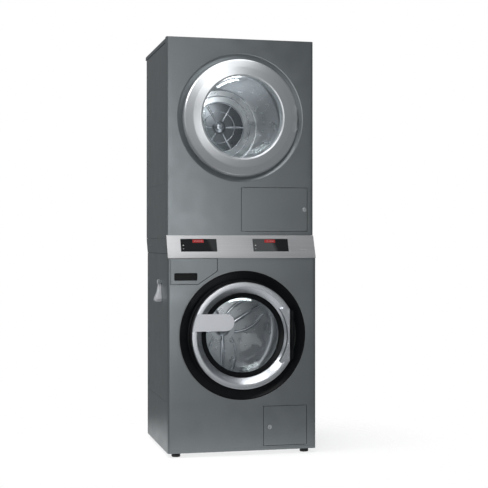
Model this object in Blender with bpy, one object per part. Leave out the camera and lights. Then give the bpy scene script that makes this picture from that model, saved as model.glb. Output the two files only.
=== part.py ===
"""Washing machine with a tumble dryer stacked on it, as separate pieces with their joint axes.

Units are metres, +Z is up. The pieces are laid out in a design frame: X to the right, Y to the back and
Z up from the floor, with its origin under the middle of the washer's front. The empty machine_origin
carries all of them, and puts the world origin under the middle of the whole machine's box.
"""

import math

import bmesh
import bpy
from mathutils import Matrix, Vector

# Cabinet
WIDTH = 0.692
HALF = WIDTH / 2
SHEET = 0.002
CORNER = 0.011
WRAP = 0.030  # how far a front panel wraps round to the side
SIDE_START = WRAP + 0.0005  # where a side panel begins, behind the front's face
FLANGE = 0.016
GAP = 0.0004  # between pieces that touch
KNUCKLE_STEP = 0.0006  # a hinge knuckle stands this far proud of its web
BELT_GAP = 0.0009  # from a belt's facets to its pulley
REVEAL = 0.002  # seen round a flap or a drawer
FOOT_HEIGHT = 0.020
WASHER_TOP = 0.918
WASHER_DEPTH = 0.600
FRAME_TOP = 0.9875
DRYER_FRONT = 0.043
DRYER_REAR = 0.635
STACK_TOP = 1.904
LID_HEIGHT = 0.022
LID_SHADOW = 0.005
LID_REAR = 0.665
FASCIA_LOW = 0.8985
FASCIA_HIGH = 1.0025
DISPLAY_XS = (-0.200, 0.1365)
DISPLAY_WIDTH = 0.1665
DISPLAY_LENGTH = 0.0617
DISPLAY_MID_Z = 0.9575

# Washer door and drum
WASHER_Z = 0.547
SURROUND_HOLE = 0.291
DOOR_RADIUS = 0.243
DOOR_FACE = -0.033
DOOR_CHORD = 0.212
BRACKET_HALF = 0.120
HINGE_X = 0.226
HINGE_Y = -0.020
HANDLE_X = -0.215
HANDLE_Y = -0.0395
HANDLE_FRONT = -0.052
HANDLE_Z = 0.6095
SHAFT_RADIUS = 0.0175
BOSS_BORE = 0.0182
DRUM_RADIUS = 0.270
TUB_RADIUS = 0.300
BIG_PULLEY = 0.150
SMALL_PULLEY = 0.022
MOTOR_X = -0.060
MOTOR_Z = 0.150

# Connections at the washer's back
INLET_XS = (-0.230, -0.170)
INLET_Z = 0.840
DRAIN_X = 0.200
DRAIN_Z = 0.115
DRAIN_RADIUS = 0.025
GLAND_PLACE = (0.250, 0, 0.800)

# Dryer door and drum
DRYER_Z = 1.542
DISH_RADIUS = 0.2925
DISH_FLOOR = 0.2720
DISH_DEPTH = 0.0100
SLEEVE_RADIUS = 0.2000
DRYER_RING = 0.2685
DRYER_HINGE_X = 0.262
DRYER_HINGE_Y = DRYER_FRONT - 0.012
DRYER_DRUM = 0.290
DRYER_PULLEY = 0.020
FAN_X = -0.170
FAN_Z = 1.115
PIPE_X = -0.030
PIPE_Z = 1.090
PIPE_END = 0.690

# Lever on the left side
LEVER_X = -0.3560
LEVER_Y = 0.190
LEVER_Z = 0.788
LEVER_REACH = 0.034

# Flaps: left, right, bottom, top, and where the lock sits
SERVICE_FLAP = (0.0975, 0.3005, 0.0405, 0.2195)
SERVICE_LOCK = (0.126, 0.125)
FILTER_FLAP = (0.004, 0.316, 1.0215, 1.222)
FILTER_LOCK = (0.3035, 1.121)
FLAP_DEPTH = 0.012
FLAP_AXIS_IN = 0.005
FLAP_AXIS_BACK = 0.0055

# Facets round a turned piece that shows, and round one inside
SEEN = 48
INSIDE = 32

ORIGIN = Vector((-LEVER_REACH / 2, (HANDLE_FRONT + PIPE_END) / 2, 0.0))

# colour, roughness, metallic
LOOKS = {
    "iron_grey": ((0.085, 0.100, 0.108), 0.35, 0.3),
    "stainless": ((0.62, 0.62, 0.63), 0.30, 1.0),
    "satin_silver": ((0.70, 0.71, 0.73), 0.35, 1.0),
    "black_plastic": ((0.012, 0.012, 0.014), 0.35, 0.0),
    "display": ((0.010, 0.010, 0.011), 0.08, 0.0),
    "glass": ((0.80, 0.85, 0.86), 0.05, 0.0),
    "rubber": ((0.02, 0.02, 0.02), 0.7, 0.0),
    "handle": ((0.66, 0.67, 0.71), 0.4, 0.2),
    "galvanised": ((0.45, 0.46, 0.47), 0.5, 0.8),
    "cast_iron": ((0.10, 0.10, 0.10), 0.7, 0.5),
    "motor": ((0.08, 0.09, 0.10), 0.5, 0.4),
    "pale_plastic": ((0.62, 0.63, 0.62), 0.45, 0.0),
    "brass": ((0.60, 0.44, 0.18), 0.35, 1.0),
}


# ---------------------------------------------------------------- building blocks


def clear_scene():
    for obj in list(bpy.data.objects):
        bpy.data.objects.remove(obj, do_unlink=True)


def pivot(name, place, parent=None):
    """An empty at a place in the design frame, which a moving body hangs on."""
    empty = bpy.data.objects.new(name, None)
    bpy.context.scene.collection.objects.link(empty)
    empty.parent = parent[0] if parent else None
    inner = parent[1] if parent else Vector((0, 0, 0))
    empty.location = Vector(place) - inner
    return empty, Vector(place)


def piece(name, bm, look, body, place=(0, 0, 0)):
    """A named object made of bm, at a place in the design frame, carried by a body's pivot."""
    bmesh.ops.recalc_face_normals(bm, faces=bm.faces)
    mesh = bpy.data.meshes.new(name)
    bm.to_mesh(mesh)
    bm.free()
    obj = bpy.data.objects.new(name, mesh)
    bpy.context.scene.collection.objects.link(obj)
    obj.parent = body[0]
    obj.location = Vector(place) - body[1]
    mesh.shade_smooth()
    mesh.set_sharp_from_angle(angle=math.radians(32))
    if look:
        mesh.materials.append(material(name, look))
    return obj


def material(name, look):
    colour, roughness, metallic = LOOKS[look]
    made = bpy.data.materials.new(name + "_" + look)
    made.use_nodes = True
    shader = made.node_tree.nodes["Principled BSDF"]
    shader.inputs["Base Color"].default_value = (*colour, 1.0)
    shader.inputs["Roughness"].default_value = roughness
    shader.inputs["Metallic"].default_value = metallic
    return made


def combine(obj, operation, bm, place=(0, 0, 0)):
    """Cuts bm from obj, joins it on or keeps what they share; place is in the design frame."""
    tool = piece(obj.name + "_tool", bm, None, CABINET, place)
    tool.hide_render = True
    tool.display_type = "WIRE"
    if obj.modifiers:
        obj.modifiers.new("triangles", "TRIANGULATE")
    modifier = obj.modifiers.new(operation.lower(), "BOOLEAN")
    modifier.operation = operation
    modifier.solver = "EXACT"
    modifier.object = tool


def cut(obj, bm, place=(0, 0, 0)):
    combine(obj, "DIFFERENCE", bm, place)


def join(obj, bm, place=(0, 0, 0)):
    combine(obj, "UNION", bm, place)


def block(low, high):
    bm = bmesh.new()
    bmesh.ops.create_cube(bm, size=1.0)
    size = Vector(high) - Vector(low)
    bmesh.ops.scale(bm, vec=size, verts=bm.verts)
    bmesh.ops.translate(bm, vec=(Vector(high) + Vector(low)) / 2, verts=bm.verts)
    return bm


def turned(profile, segments, axis="Y"):
    """A closed profile of (radius, distance along the axis) spun round the axis."""
    bm = bmesh.new()
    along = Vector((0, 1, 0)) if axis == "Y" else Vector((0, 0, 1))
    points = [bm.verts.new(Vector((radius, 0, 0)) + along * step) for radius, step in profile]
    edges = []
    for i, point in enumerate(points):
        if profile[i - 1][0] > 0 or profile[i][0] > 0:
            edges.append(bm.edges.new((points[i - 1], point)))
    bmesh.ops.spin(
        bm,
        geom=points + edges,
        cent=(0, 0, 0),
        axis=along,
        angle=2 * math.pi,
        steps=segments,
        use_merge=True,
    )
    bmesh.ops.remove_doubles(bm, verts=bm.verts, dist=1e-6)
    return bm


def rod(radius, low, high, segments=24, axis="Y"):
    return turned([(0, low), (radius, low), (radius, high), (0, high)], segments, axis)


def to_space(axis, first, second, along):
    """A point of an outline in the plane across an axis."""
    if axis == "X":
        return Vector((along, first, second))
    if axis == "Y":
        return Vector((first, along, second))
    return Vector((first, second, along))


def band(outer, inner, axis, low, high):
    """The solid between two outlines with as many points as each other."""
    bm = bmesh.new()
    rings = []
    for outline, along in ((outer, low), (outer, high), (inner, high), (inner, low)):
        rings.append([bm.verts.new(to_space(axis, *point, along)) for point in outline])
    count = len(outer)
    for ring, after in zip(rings, rings[1:] + rings[:1]):
        for i in range(count):
            j = (i + 1) % count
            bm.faces.new((ring[i], ring[j], after[j], after[i]))
    return bm


def prism(outline, axis, low, high):
    bm = bmesh.new()
    ends = []
    for along in (low, high):
        ends.append([bm.verts.new(to_space(axis, *point, along)) for point in outline])
    bm.faces.new(ends[0])
    bm.faces.new(ends[1])
    for i in range(len(outline)):
        j = (i + 1) % len(outline)
        bm.faces.new((ends[0][i], ends[0][j], ends[1][j], ends[1][i]))
    return bm


def arc(centre, radius, start, end, steps):
    """Points on an arc, from one angle in degrees to another."""
    points = []
    for i in range(steps + 1):
        angle = math.radians(start + (end - start) * i / steps)
        points.append((centre[0] + radius * math.cos(angle), centre[1] + radius * math.sin(angle)))
    return points


def front_outline(front, depth, inset):
    """A front panel seen from above: two rounded front corners, open at the back."""
    half = HALF - inset
    radius = CORNER - inset
    left = arc((-HALF + CORNER, front + CORNER), radius, 180, 270, 5)
    right = arc((HALF - CORNER, front + CORNER), radius, 270, 360, 5)
    return [(-half, front + depth)] + left + right + [(half, front + depth)]


# ---------------------------------------------------------------- cabinets


def build_feet():
    profile = [(0, 0), (0.018, 0), (0.020, 0.002), (0.020, 0.011), (0.012, 0.016)]
    profile += [(0.006, 0.016), (0.006, 0.042), (0, 0.042)]
    places = foot_places()
    for name, (x, y) in places.items():
        piece("foot_" + name, turned(profile, 20, "Z"), "rubber", CABINET, (x, y, 0))


def foot_places():
    side = 0.302
    front = 0.045
    rear = 0.560
    return {
        "front_left": (-side, front),
        "front_right": (side, front),
        "rear_left": (-side, rear),
        "rear_right": (side, rear),
    }


def build_base():
    inset = SHEET + GAP
    wall = 0.003
    rear = WASHER_DEPTH - 0.005
    top = FOOT_HEIGHT + 0.015
    outline = front_outline(0, rear, inset)
    base = piece("washer_base", prism(outline, "Z", FOOT_HEIGHT, top), "galvanised", CABINET)
    inner = front_outline(0, rear - wall, inset + wall)
    cut(base, prism(inner, "Z", FOOT_HEIGHT + wall, top + wall))
    for x, y in foot_places().values():
        cut(base, rod(0.0066, 0, 0.05, 24, "Z"), (x, y, 0))


def build_side_panels(name, front, rear, low, high):
    """Left and right panels, each with a flange folded in at the back."""
    outline = [
        (-HALF, front),
        (-HALF, rear),
        (-HALF + FLANGE, rear),
        (-HALF + FLANGE, rear - SHEET),
        (-HALF + SHEET, rear - SHEET),
        (-HALF + SHEET, front),
    ]
    mirrored = [(-x, y) for x, y in outline]
    left = piece(name + "_left", prism(outline, "Z", low, high), "iron_grey", CABINET)
    right = piece(name + "_right", prism(mirrored, "Z", low, high), "iron_grey", CABINET)
    return left, right


def build_front_panel(name, front, low, high, inner_top):
    """A sheet panel whose two sides wrap round the corners."""
    body = prism(front_outline(front, WRAP, 0), "Z", low, high)
    panel = piece(name, body, "iron_grey", CABINET)
    cut(panel, prism(front_outline(front, WRAP + 0.01, SHEET), "Z", low - 0.01, inner_top))
    return panel


def flap_opening(flap, front):
    left, right, low, high = flap
    edge = REVEAL
    return block((left - edge, front - 0.02, low - edge), (right + edge, front + 0.02, high + edge))


def flap_axis(flap, front, hinge_side):
    left, right, low, high = flap
    x = right - FLAP_AXIS_IN if hinge_side > 0 else left + FLAP_AXIS_IN
    return Vector((x, front + FLAP_AXIS_BACK, (low + high) / 2))


def add_flap_pins(panel, flap, front, hinge_side):
    """Ears behind the panel, above and below the opening, with pins that reach into the flap's edges."""
    axis = flap_axis(flap, front, hinge_side)
    outside = axis.x + hinge_side * 0.016
    inside = axis.x - hinge_side * 0.004
    for end, way in ((flap[3], 1), (flap[2], -1)):
        near = end + way * 0.0007
        far = end + way * 0.0045
        low = (min(inside, outside), front + SHEET * 0.6, min(near, far))
        high = (max(inside, outside), front + 0.0095, max(near, far))
        join(panel, block(low, high))
        pin = rod(0.0018, min(end - way * 0.004, far), max(end - way * 0.004, far), 12, "Z")
        join(panel, shifted(pin, (0, 0, -way * 0.0005)), (axis.x, axis.y, 0))


def shifted(bm, offset):
    bmesh.ops.translate(bm, vec=offset, verts=bm.verts)
    return bm


def build_washer_cabinet():
    build_feet()
    build_base()
    left, _ = build_side_panels("washer_side", SIDE_START, WASHER_DEPTH, FOOT_HEIGHT, WASHER_TOP)
    add_lever_ears(left)
    panel = build_front_panel("washer_front_panel", 0, FOOT_HEIGHT, FASCIA_LOW - GAP, FASCIA_LOW + 0.01)
    cut(panel, rod(SURROUND_HOLE, -0.02, 0.02, SEEN), (0, 0, WASHER_Z))
    cut(panel, prism(drawer_outline(REVEAL, FASCIA_LOW + 0.02), "Y", -0.02, 0.02))
    cut(panel, flap_opening(SERVICE_FLAP, 0))
    add_flap_pins(panel, SERVICE_FLAP, 0, 1)
    build_washer_rear()


def build_washer_rear():
    half = HALF - SHEET - GAP
    low = WASHER_DEPTH - SHEET - GAP - SHEET
    high = WASHER_DEPTH - SHEET - GAP
    plate = block((-half, low, FOOT_HEIGHT + 0.002), (half, high, WASHER_TOP - 0.004))
    rear = piece("washer_rear_panel", plate, "galvanised", CABINET)
    for x in INLET_XS:
        cut(rear, rod(0.0140, 0.55, 0.65), (x, 0, INLET_Z))
    cut(rear, rod(DRAIN_RADIUS + 0.0006, 0.55, 0.65), (DRAIN_X, 0, DRAIN_Z))
    cut(rear, rod(0.0126, 0.55, 0.65, 20), GLAND_PLACE)


def add_lever_ears(panel):
    """Two ears on the left side panel with the pin that the lever swings on."""
    for offset in (-0.0165, 0.0135):
        low = (LEVER_X - 0.0070, LEVER_Y + offset, LEVER_Z - 0.008)
        high = (-HALF + SHEET / 2, LEVER_Y + offset + 0.003, LEVER_Z + 0.008)
        join(panel, block(low, high))
    join(panel, rod(0.0030, LEVER_Y - 0.0155, LEVER_Y + 0.0155, 16), (LEVER_X, 0, LEVER_Z))


def build_side_lever():
    """A tapered pull that hangs from its pin and swings out at the bottom."""
    body = pivot("side_lever_axis", (LEVER_X, LEVER_Y, LEVER_Z), CABINET)
    wall = -HALF - 0.0006
    bm = bmesh.new()
    rings = ((LEVER_Z, 0.0100, 0.0115), (0.742, 0.0160, 0.020), (0.712, 0.0250, LEVER_REACH - 0.002))
    rings += ((0.704, 0.0240, LEVER_REACH), (0.695, 0.0140, LEVER_REACH - 0.008))
    loops = []
    for z, half, reach in rings:
        outside = -HALF - reach
        soft = min(half, reach) * 0.4
        outline = [
            (wall, LEVER_Y - half),
            (outside + soft, LEVER_Y - half),
            (outside, LEVER_Y - half + soft),
            (outside, LEVER_Y + half - soft),
            (outside + soft, LEVER_Y + half),
            (wall, LEVER_Y + half),
        ]
        loops.append([bm.verts.new((x, y, z)) for x, y in outline])
    for upper, lower in zip(loops, loops[1:]):
        for i in range(6):
            j = (i + 1) % 6
            bm.faces.new((upper[i], upper[j], lower[j], lower[i]))
    bm.faces.new(loops[0])
    bm.faces.new(loops[-1])
    lever = piece("side_lever", bm, "handle", body)
    join(lever, rod(0.0092, LEVER_Y - 0.0125, LEVER_Y + 0.0125, 20), (LEVER_X, 0, LEVER_Z))
    cut(lever, rod(0.0036, LEVER_Y - 0.03, LEVER_Y + 0.03, 16), (LEVER_X, 0, LEVER_Z))


def build_stacking_frame():
    """A deck with four skirts. Its front leans back with the fascia, and its rear reaches the dryer's."""
    low = WASHER_TOP + 0.0012
    high = FRAME_TOP
    slope = DRYER_FRONT / (FASCIA_HIGH - FASCIA_LOW)
    lean = 0.0045
    outline = [
        ((low - FASCIA_LOW) * slope + lean, low),
        ((high - FASCIA_LOW) * slope + lean, high),
        (DRYER_REAR, high),
        (WASHER_DEPTH, low),
    ]
    frame = piece("stacking_frame", prism(outline, "X", -HALF, HALF), "iron_grey", CABINET)
    wall = 0.003
    inner = [
        (outline[0][0] + wall, low - 0.01),
        (outline[1][0] + wall, high - wall),
        (DRYER_REAR - 0.006, high - wall),
        (WASHER_DEPTH - 0.010, low - 0.01),
    ]
    cut(frame, prism(inner, "X", -HALF + wall, HALF - wall))
    for x in DISPLAY_XS:
        half = DISPLAY_WIDTH / 2 + 0.004
        cut(frame, block((x - half, 0, 0.925), (x + half, 0.05, FRAME_TOP - 0.006)))


def fascia_tilt():
    """How far the fascia leans back from upright, and a point in the middle of its face."""
    tilt = math.atan2(DRYER_FRONT, FASCIA_HIGH - FASCIA_LOW)
    return tilt, (DISPLAY_MID_Z - FASCIA_LOW) * math.tan(tilt)


def leaning_block(x, half_width, half_length, front, back):
    """A block on the fascia: front and back are distances from its face, inwards."""
    tilt, y = fascia_tilt()
    bm = block((-half_width, front, -half_length), (half_width, back, half_length))
    bmesh.ops.rotate(bm, matrix=Matrix.Rotation(-tilt, 3, "X"), verts=bm.verts, cent=(0, 0, 0))
    return shifted(bm, (x, y, DISPLAY_MID_Z))


def build_fascia():
    tilt, _ = fascia_tilt()
    across = SHEET / math.cos(tilt)
    lip = 0.010
    outline = [
        (0, FASCIA_LOW),
        (DRYER_FRONT, FASCIA_HIGH),
        (DRYER_FRONT + lip, FASCIA_HIGH),
        (DRYER_FRONT + lip, FASCIA_HIGH - SHEET),
        (DRYER_FRONT + across * 0.6, FASCIA_HIGH - SHEET),
        (across * 1.4, FASCIA_LOW + SHEET),
        (lip, FASCIA_LOW + SHEET),
        (lip, FASCIA_LOW),
    ]
    fascia = piece("control_fascia", prism(outline, "X", -HALF, HALF), "stainless", CABINET)
    for name, x in zip(("left", "right"), DISPLAY_XS):
        half = DISPLAY_WIDTH / 2
        tall = DISPLAY_LENGTH / 2
        cut(fascia, leaning_block(x, half + 0.0005, tall + 0.0005, -0.02, 0.012))
        glass = leaning_block(x, half, tall, -0.0004, 0.0034)
        piece("display_" + name, glass, "display", CABINET)


def build_dryer_cabinet():
    behind = DRYER_FRONT + SIDE_START
    top = STACK_TOP - LID_HEIGHT - LID_SHADOW
    build_side_panels("dryer_side", behind, DRYER_REAR, FRAME_TOP + 0.0012, top)
    panel = build_front_panel(
        "dryer_front_panel", DRYER_FRONT, FASCIA_HIGH + GAP, STACK_TOP, STACK_TOP - SHEET
    )
    cut(panel, flap_opening(FILTER_FLAP, DRYER_FRONT))
    press_dish(panel)
    add_flap_pins(panel, FILTER_FLAP, DRYER_FRONT, -1)
    add_dryer_hinge_pin(panel)
    build_dryer_rear()
    build_lid()


def press_dish(panel):
    """The pressed recess round the door, and the sleeve that leads to the drum."""
    slope_in = DISH_RADIUS - DISH_FLOOR
    wall = 0.0020
    body = [
        (0, 0.0010),
        (DISH_RADIUS + 0.0028, 0.0010),
        (DISH_FLOOR + 0.0008, DISH_DEPTH + wall),
        (SLEEVE_RADIUS + wall, DISH_DEPTH + wall),
        (SLEEVE_RADIUS + wall, 0.0540),
        (0, 0.0540),
    ]
    hollow = [
        (0, -DISH_DEPTH),
        (DISH_RADIUS + slope_in, -DISH_DEPTH),
        (DISH_FLOOR, DISH_DEPTH),
        (SLEEVE_RADIUS, DISH_DEPTH),
        (SLEEVE_RADIUS, 0.0600),
        (0, 0.0600),
    ]
    place = (0, DRYER_FRONT, DRYER_Z)
    join(panel, turned(body, SEEN), place)
    cut(panel, turned(hollow, SEEN), place)


def add_dryer_hinge_pin(panel):
    """A standoff on the recess's floor with the pin that the door turns on."""
    x, y = DRYER_HINGE_X, DRYER_HINGE_Y
    high = (x + 0.0028, DRYER_FRONT + 0.0110, DRYER_Z + 0.027)
    join(panel, block((x - 0.0028, y, DRYER_Z - 0.027), high))
    join(panel, rod(0.0044, -0.0280, 0.0280, 16, "Z"), (x, y, DRYER_Z))
    join(panel, rod(0.0024, -0.0440, 0.0440, 12, "Z"), (x, y, DRYER_Z))


def build_dryer_rear():
    half = HALF - SHEET - GAP
    high = DRYER_REAR - SHEET - GAP
    plate = block((-half, high - SHEET, FRAME_TOP + 0.002), (half, high, STACK_TOP - LID_HEIGHT - 0.014))
    rear = piece("dryer_rear_panel", plate, "galvanised", CABINET)
    cut(rear, rod(0.0512, 0.6, 0.7, 32), (PIPE_X, 0, PIPE_Z))


def build_lid():
    """A cap with rounded sides and a skirt that drops inside the side panels."""
    low = STACK_TOP - LID_HEIGHT
    round_top = 0.012
    outline = [(-HALF, low)] + arc((-HALF + round_top, STACK_TOP - round_top), round_top, 180, 90, 5)
    outline += arc((HALF - round_top, STACK_TOP - round_top), round_top, 90, 0, 5) + [(HALF, low)]
    front = DRYER_FRONT + SIDE_START
    lid = piece("dryer_lid", prism(outline, "Y", front, LID_REAR), "iron_grey", CABINET)
    half = HALF - 0.005
    join(lid, block((-half, front + 0.003, low - 0.012), (half, DRYER_REAR - 0.004, low + 0.004)))
    wall = 0.003
    bottom = low - 0.02
    top = (half - wall, DRYER_REAR - 0.007, STACK_TOP - wall)
    cut(lid, block((-half + wall, front + 0.006, bottom), top))


# ---------------------------------------------------------------- flaps


def build_flap(name, flap, front, hinge_side, lock):
    """A sheet tray hinged on one side, and its quarter-turn lock, which rests unlocked."""
    axis = flap_axis(flap, front, hinge_side)
    body = pivot(name + "_axis", axis, CABINET)
    left, right, low, high = flap
    tray = block((left, front, low), (right, front + FLAP_DEPTH, high))
    door = piece(name, tray, "iron_grey", body)
    inner = (left + SHEET, front + SHEET, low + SHEET)
    cut(door, block(inner, (right - SHEET, front + FLAP_DEPTH + 0.01, high - SHEET)))
    cut(door, rod(0.0024, low - 0.01, high + 0.01, 12, "Z"), (axis.x, axis.y, 0))
    x, z = lock
    cut(door, rod(0.0085, -0.02, 0.02, 20), (x, front, z))
    turn = pivot(name + "_lock_axis", (x, front, z), body)
    profile = [(0, -0.0025), (0.0090, -0.0025), (0.0105, -0.0012), (0.0105, -0.0004), (0.0078, -0.0004)]
    profile += [(0.0078, 0.0158), (0, 0.0158)]
    key = piece(name + "_lock", turned(profile, 20), "galvanised", turn, (x, front, z))
    join(key, block((x - 0.006, front + 0.0127, z - 0.004), (x + 0.006, front + 0.0152, z + 0.036)))
    cut(key, block((x - 0.0012, front - 0.01, z - 0.006), (x + 0.0012, front - 0.0008, z + 0.006)))


# ---------------------------------------------------------------- washer door


def build_surround():
    profile = [
        (0.2970, -0.0005),
        (0.2970, -0.0030),
        (0.2905, -0.0030),
        (0.2540, 0.0200),
        (0.1965, 0.0200),
        (0.1965, 0.0450),
        (0.1995, 0.0450),
        (0.1995, 0.0230),
        (0.2560, 0.0230),
        (0.2895, 0.0015),
        (0.2895, -0.0005),
    ]
    surround = piece("door_surround", turned(profile, SEEN), "black_plastic", CABINET, (0, 0, WASHER_Z))
    cut(surround, block((-0.237, 0.015, WASHER_Z - 0.012), (-0.211, 0.03, WASHER_Z + 0.012)))


def build_door_lock():
    low = (-0.2515, 0.0235, WASHER_Z - 0.032)
    high = (-0.2010, 0.0600, WASHER_Z + 0.032)
    lock = piece("washer_door_lock", block(low, high), "black_plastic", CABINET)
    cut(lock, block((-0.238, 0.01, WASHER_Z - 0.012), (-0.210, 0.050, WASHER_Z + 0.012)))


def build_hinge_bracket():
    """The bracket on the surround, with the middle knuckle and the pin of the door's hinge."""
    z = WASHER_Z
    plate = block((0.2155, 0.0137, z - 0.090), (0.2335, 0.0196, z + 0.090))
    bracket = piece("washer_hinge_bracket", plate, "black_plastic", CABINET)
    join(bracket, block((0.2215, HINGE_Y, z - 0.070), (0.2305, 0.0150, z + 0.070)))
    join(bracket, rod(0.0080, -0.0702, 0.0702, 20, "Z"), (HINGE_X, HINGE_Y, z))
    join(bracket, rod(0.0045, -0.1130, 0.1130, 16, "Z"), (HINGE_X, HINGE_Y, z))


def build_washer_door():
    body = pivot("washer_door_axis", (HINGE_X, HINGE_Y, WASHER_Z), CABINET)
    build_door_ring(body)
    build_door_leaf(body)
    centre = (0, 0, WASHER_Z)
    clamp = [(0.1928, -0.0035), (0.1900, -0.0050), (0.1715, 0.0010), (0.1700, 0.0066), (0.1928, 0.0066)]
    piece("washer_door_clamp", turned(clamp, SEEN), "black_plastic", body, centre)
    outside = [(0.1800, 0.0070), (0.1800, 0.0118), (0.1690, 0.0118), (0.1630, 0.0400), (0.1500, 0.0650)]
    outside += [(0.1250, 0.0860), (0.0850, 0.1000), (0.0420, 0.1070), (0, 0.1090)]
    inside = [(0, 0.1040), (0.0420, 0.1020), (0.0840, 0.0950), (0.1210, 0.0820), (0.1460, 0.0610)]
    inside += [(0.1585, 0.0380), (0.1640, 0.0070)]
    piece("washer_door_glass", turned(outside + inside, 40), "glass", body, centre)
    build_handle(body)


def build_door_ring(body):
    """The D-shaped metal ring: a rim, a cone that leads in to the glass and a flat plate at the hinge."""
    z = WASHER_Z
    profile = [
        (DOOR_RADIUS, 0.0100),
        (DOOR_RADIUS, DOOR_FACE + 0.003),
        (DOOR_RADIUS - 0.003, DOOR_FACE),
        (0.2210, DOOR_FACE),
        (0.2180, DOOR_FACE + 0.002),
        (0.1933, -0.0040),
        (0.1933, 0.0100),
        (0.1990, 0.0100),
        (0.1990, 0.0015),
        (0.2215, DOOR_FACE + 0.006),
        (DOOR_RADIUS - 0.005, DOOR_FACE + 0.006),
        (DOOR_RADIUS - 0.005, 0.0100),
    ]
    ring = piece("washer_door_ring", turned(profile, SEEN), "satin_silver", body, (0, 0, z))
    join(ring, hinge_plate(0.203), (0, 0, z))
    cut(ring, block((DOOR_CHORD, -0.1, z - 0.2), (0.3, 0.1, z + 0.2)))
    low = (HANDLE_X - 0.0045, HANDLE_Y - 0.0030, HANDLE_Z - 0.014)
    join(ring, block(low, (HANDLE_X + 0.0045, -0.024, HANDLE_Z + 0.014)))
    join(ring, rod(0.0024, -0.0265, 0.0265, 12, "Z"), (HANDLE_X, HANDLE_Y, HANDLE_Z))
    join(ring, block((-0.230, DOOR_FACE + 0.003, z - 0.006), (-0.218, 0.0360, z + 0.006)))


def hinge_plate(radius):
    """The flat plate at the ring's hinge side; its edge towards the glass is an arc of this radius."""
    reach = math.degrees(math.asin(BRACKET_HALF / radius))
    outline = [(0.230, -BRACKET_HALF), (0.230, BRACKET_HALF)] + arc((0, 0), radius, reach, -reach, 16)
    return prism(outline, "Y", DOOR_FACE - 0.0006, 0.0094)


def build_door_leaf(body):
    """The hinge leaf along the ring's straight edge, with its two knuckles."""
    z = WASHER_Z
    plate = block((DOOR_CHORD + GAP, -0.0290, z - 0.110), (DOOR_CHORD + 0.0026, 0.0060, z + 0.110))
    leaf = piece("washer_door_leaf", plate, "black_plastic", body)
    for way in (-1, 1):
        low = min(way * 0.0710, way * 0.1080)
        high = max(way * 0.0710, way * 0.1080)
        join(leaf, rod(0.0080, low, high, 20, "Z"), (HINGE_X, HINGE_Y, z))
        low_end = (DOOR_CHORD + 0.0010, -0.0270, z + low + KNUCKLE_STEP)
        join(leaf, block(low_end, (HINGE_X, -0.0180, z + high - KNUCKLE_STEP)))
    cut(leaf, rod(0.0051, -0.15, 0.15, 16, "Z"), (HINGE_X, HINGE_Y, z))


def build_handle(door):
    """A flat pull plate with a round end, hinged behind its left end and trimmed to the ring's rim."""
    body = pivot("washer_handle_axis", (HANDLE_X, HANDLE_Y, HANDLE_Z), door)
    half = 0.0385
    back = -0.0440
    end_x = -0.052 - half
    outline = [(-0.260, half), (-0.260, -half)] + arc((end_x, 0), half, -90, 90, 14)
    plate = shifted(prism(outline, "Y", HANDLE_FRONT, back), (0, 0, HANDLE_Z))
    handle = piece("washer_door_handle", plate, "handle", body)
    for way in (-1, 1):
        near = HANDLE_Z + way * 0.0150
        far = HANDLE_Z + way * 0.0262
        low = (HANDLE_X - 0.0050, back - 0.002, min(near, far))
        join(handle, block(low, (HANDLE_X + 0.0050, -0.0348, max(near, far))))
    cut(handle, rod(0.0029, -0.032, 0.032, 12, "Z"), (HANDLE_X, HANDLE_Y, HANDLE_Z))
    combine(handle, "INTERSECT", rod(DOOR_RADIUS - 0.0005, -0.1, 0.1, SEEN), (0, 0, WASHER_Z))


# ---------------------------------------------------------------- washer inside


def build_tub():
    gasket = [(0.1945, 0.0135), (0.1840, 0.0135), (0.1840, 0.0165), (0.1870, 0.0200), (0.1870, 0.0765)]
    gasket += [(0.2060, 0.0765), (0.2060, 0.0735), (0.1905, 0.0735), (0.1905, 0.0200)]
    piece("tub_gasket", turned(gasket, INSIDE), "rubber", CABINET, (0, 0, WASHER_Z))
    tub = [
        (0.1920, 0.0770),
        (TUB_RADIUS, 0.0770),
        (TUB_RADIUS, 0.4700),
        (0.0500, 0.4700),
        (0.0450, 0.5250),
        (BOSS_BORE, 0.5250),
        (BOSS_BORE, 0.4670),
        (TUB_RADIUS - 0.003, 0.4670),
        (TUB_RADIUS - 0.003, 0.0800),
        (0.1920, 0.0800),
    ]
    piece("washer_tub", turned(tub, INSIDE), "galvanised", CABINET, (0, 0, WASHER_Z))
    weight = block((-0.130, 0.150, 0.8480), (0.130, 0.420, 0.9000))
    piece("tub_counterweight", weight, "cast_iron", CABINET)
    for name, side in (("left", -1), ("right", 1)):
        build_strut("suspension_strut_" + name, side)


def build_strut(name, side):
    """A damper between the base and the tub, leaning in towards the drum's axis."""
    foot = Vector((side * 0.285, 0.270, 0.033))
    top = Vector((side * 0.178, 0.270, 0.3005))
    length = (top - foot).length
    profile = [(0, 0), (0.008, 0), (0.008, 0.020), (0.014, 0.024), (0.014, 0.150), (0.007, 0.154)]
    profile += [(0.007, length - 0.020), (0.011, length - 0.016), (0.011, length), (0, length)]
    bm = turned(profile, 16, "Z")
    lean = math.atan2(top.x - foot.x, top.z - foot.z)
    bmesh.ops.rotate(bm, matrix=Matrix.Rotation(lean, 3, "Y"), verts=bm.verts, cent=(0, 0, 0))
    piece(name, bm, "motor", CABINET, foot)


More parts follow.
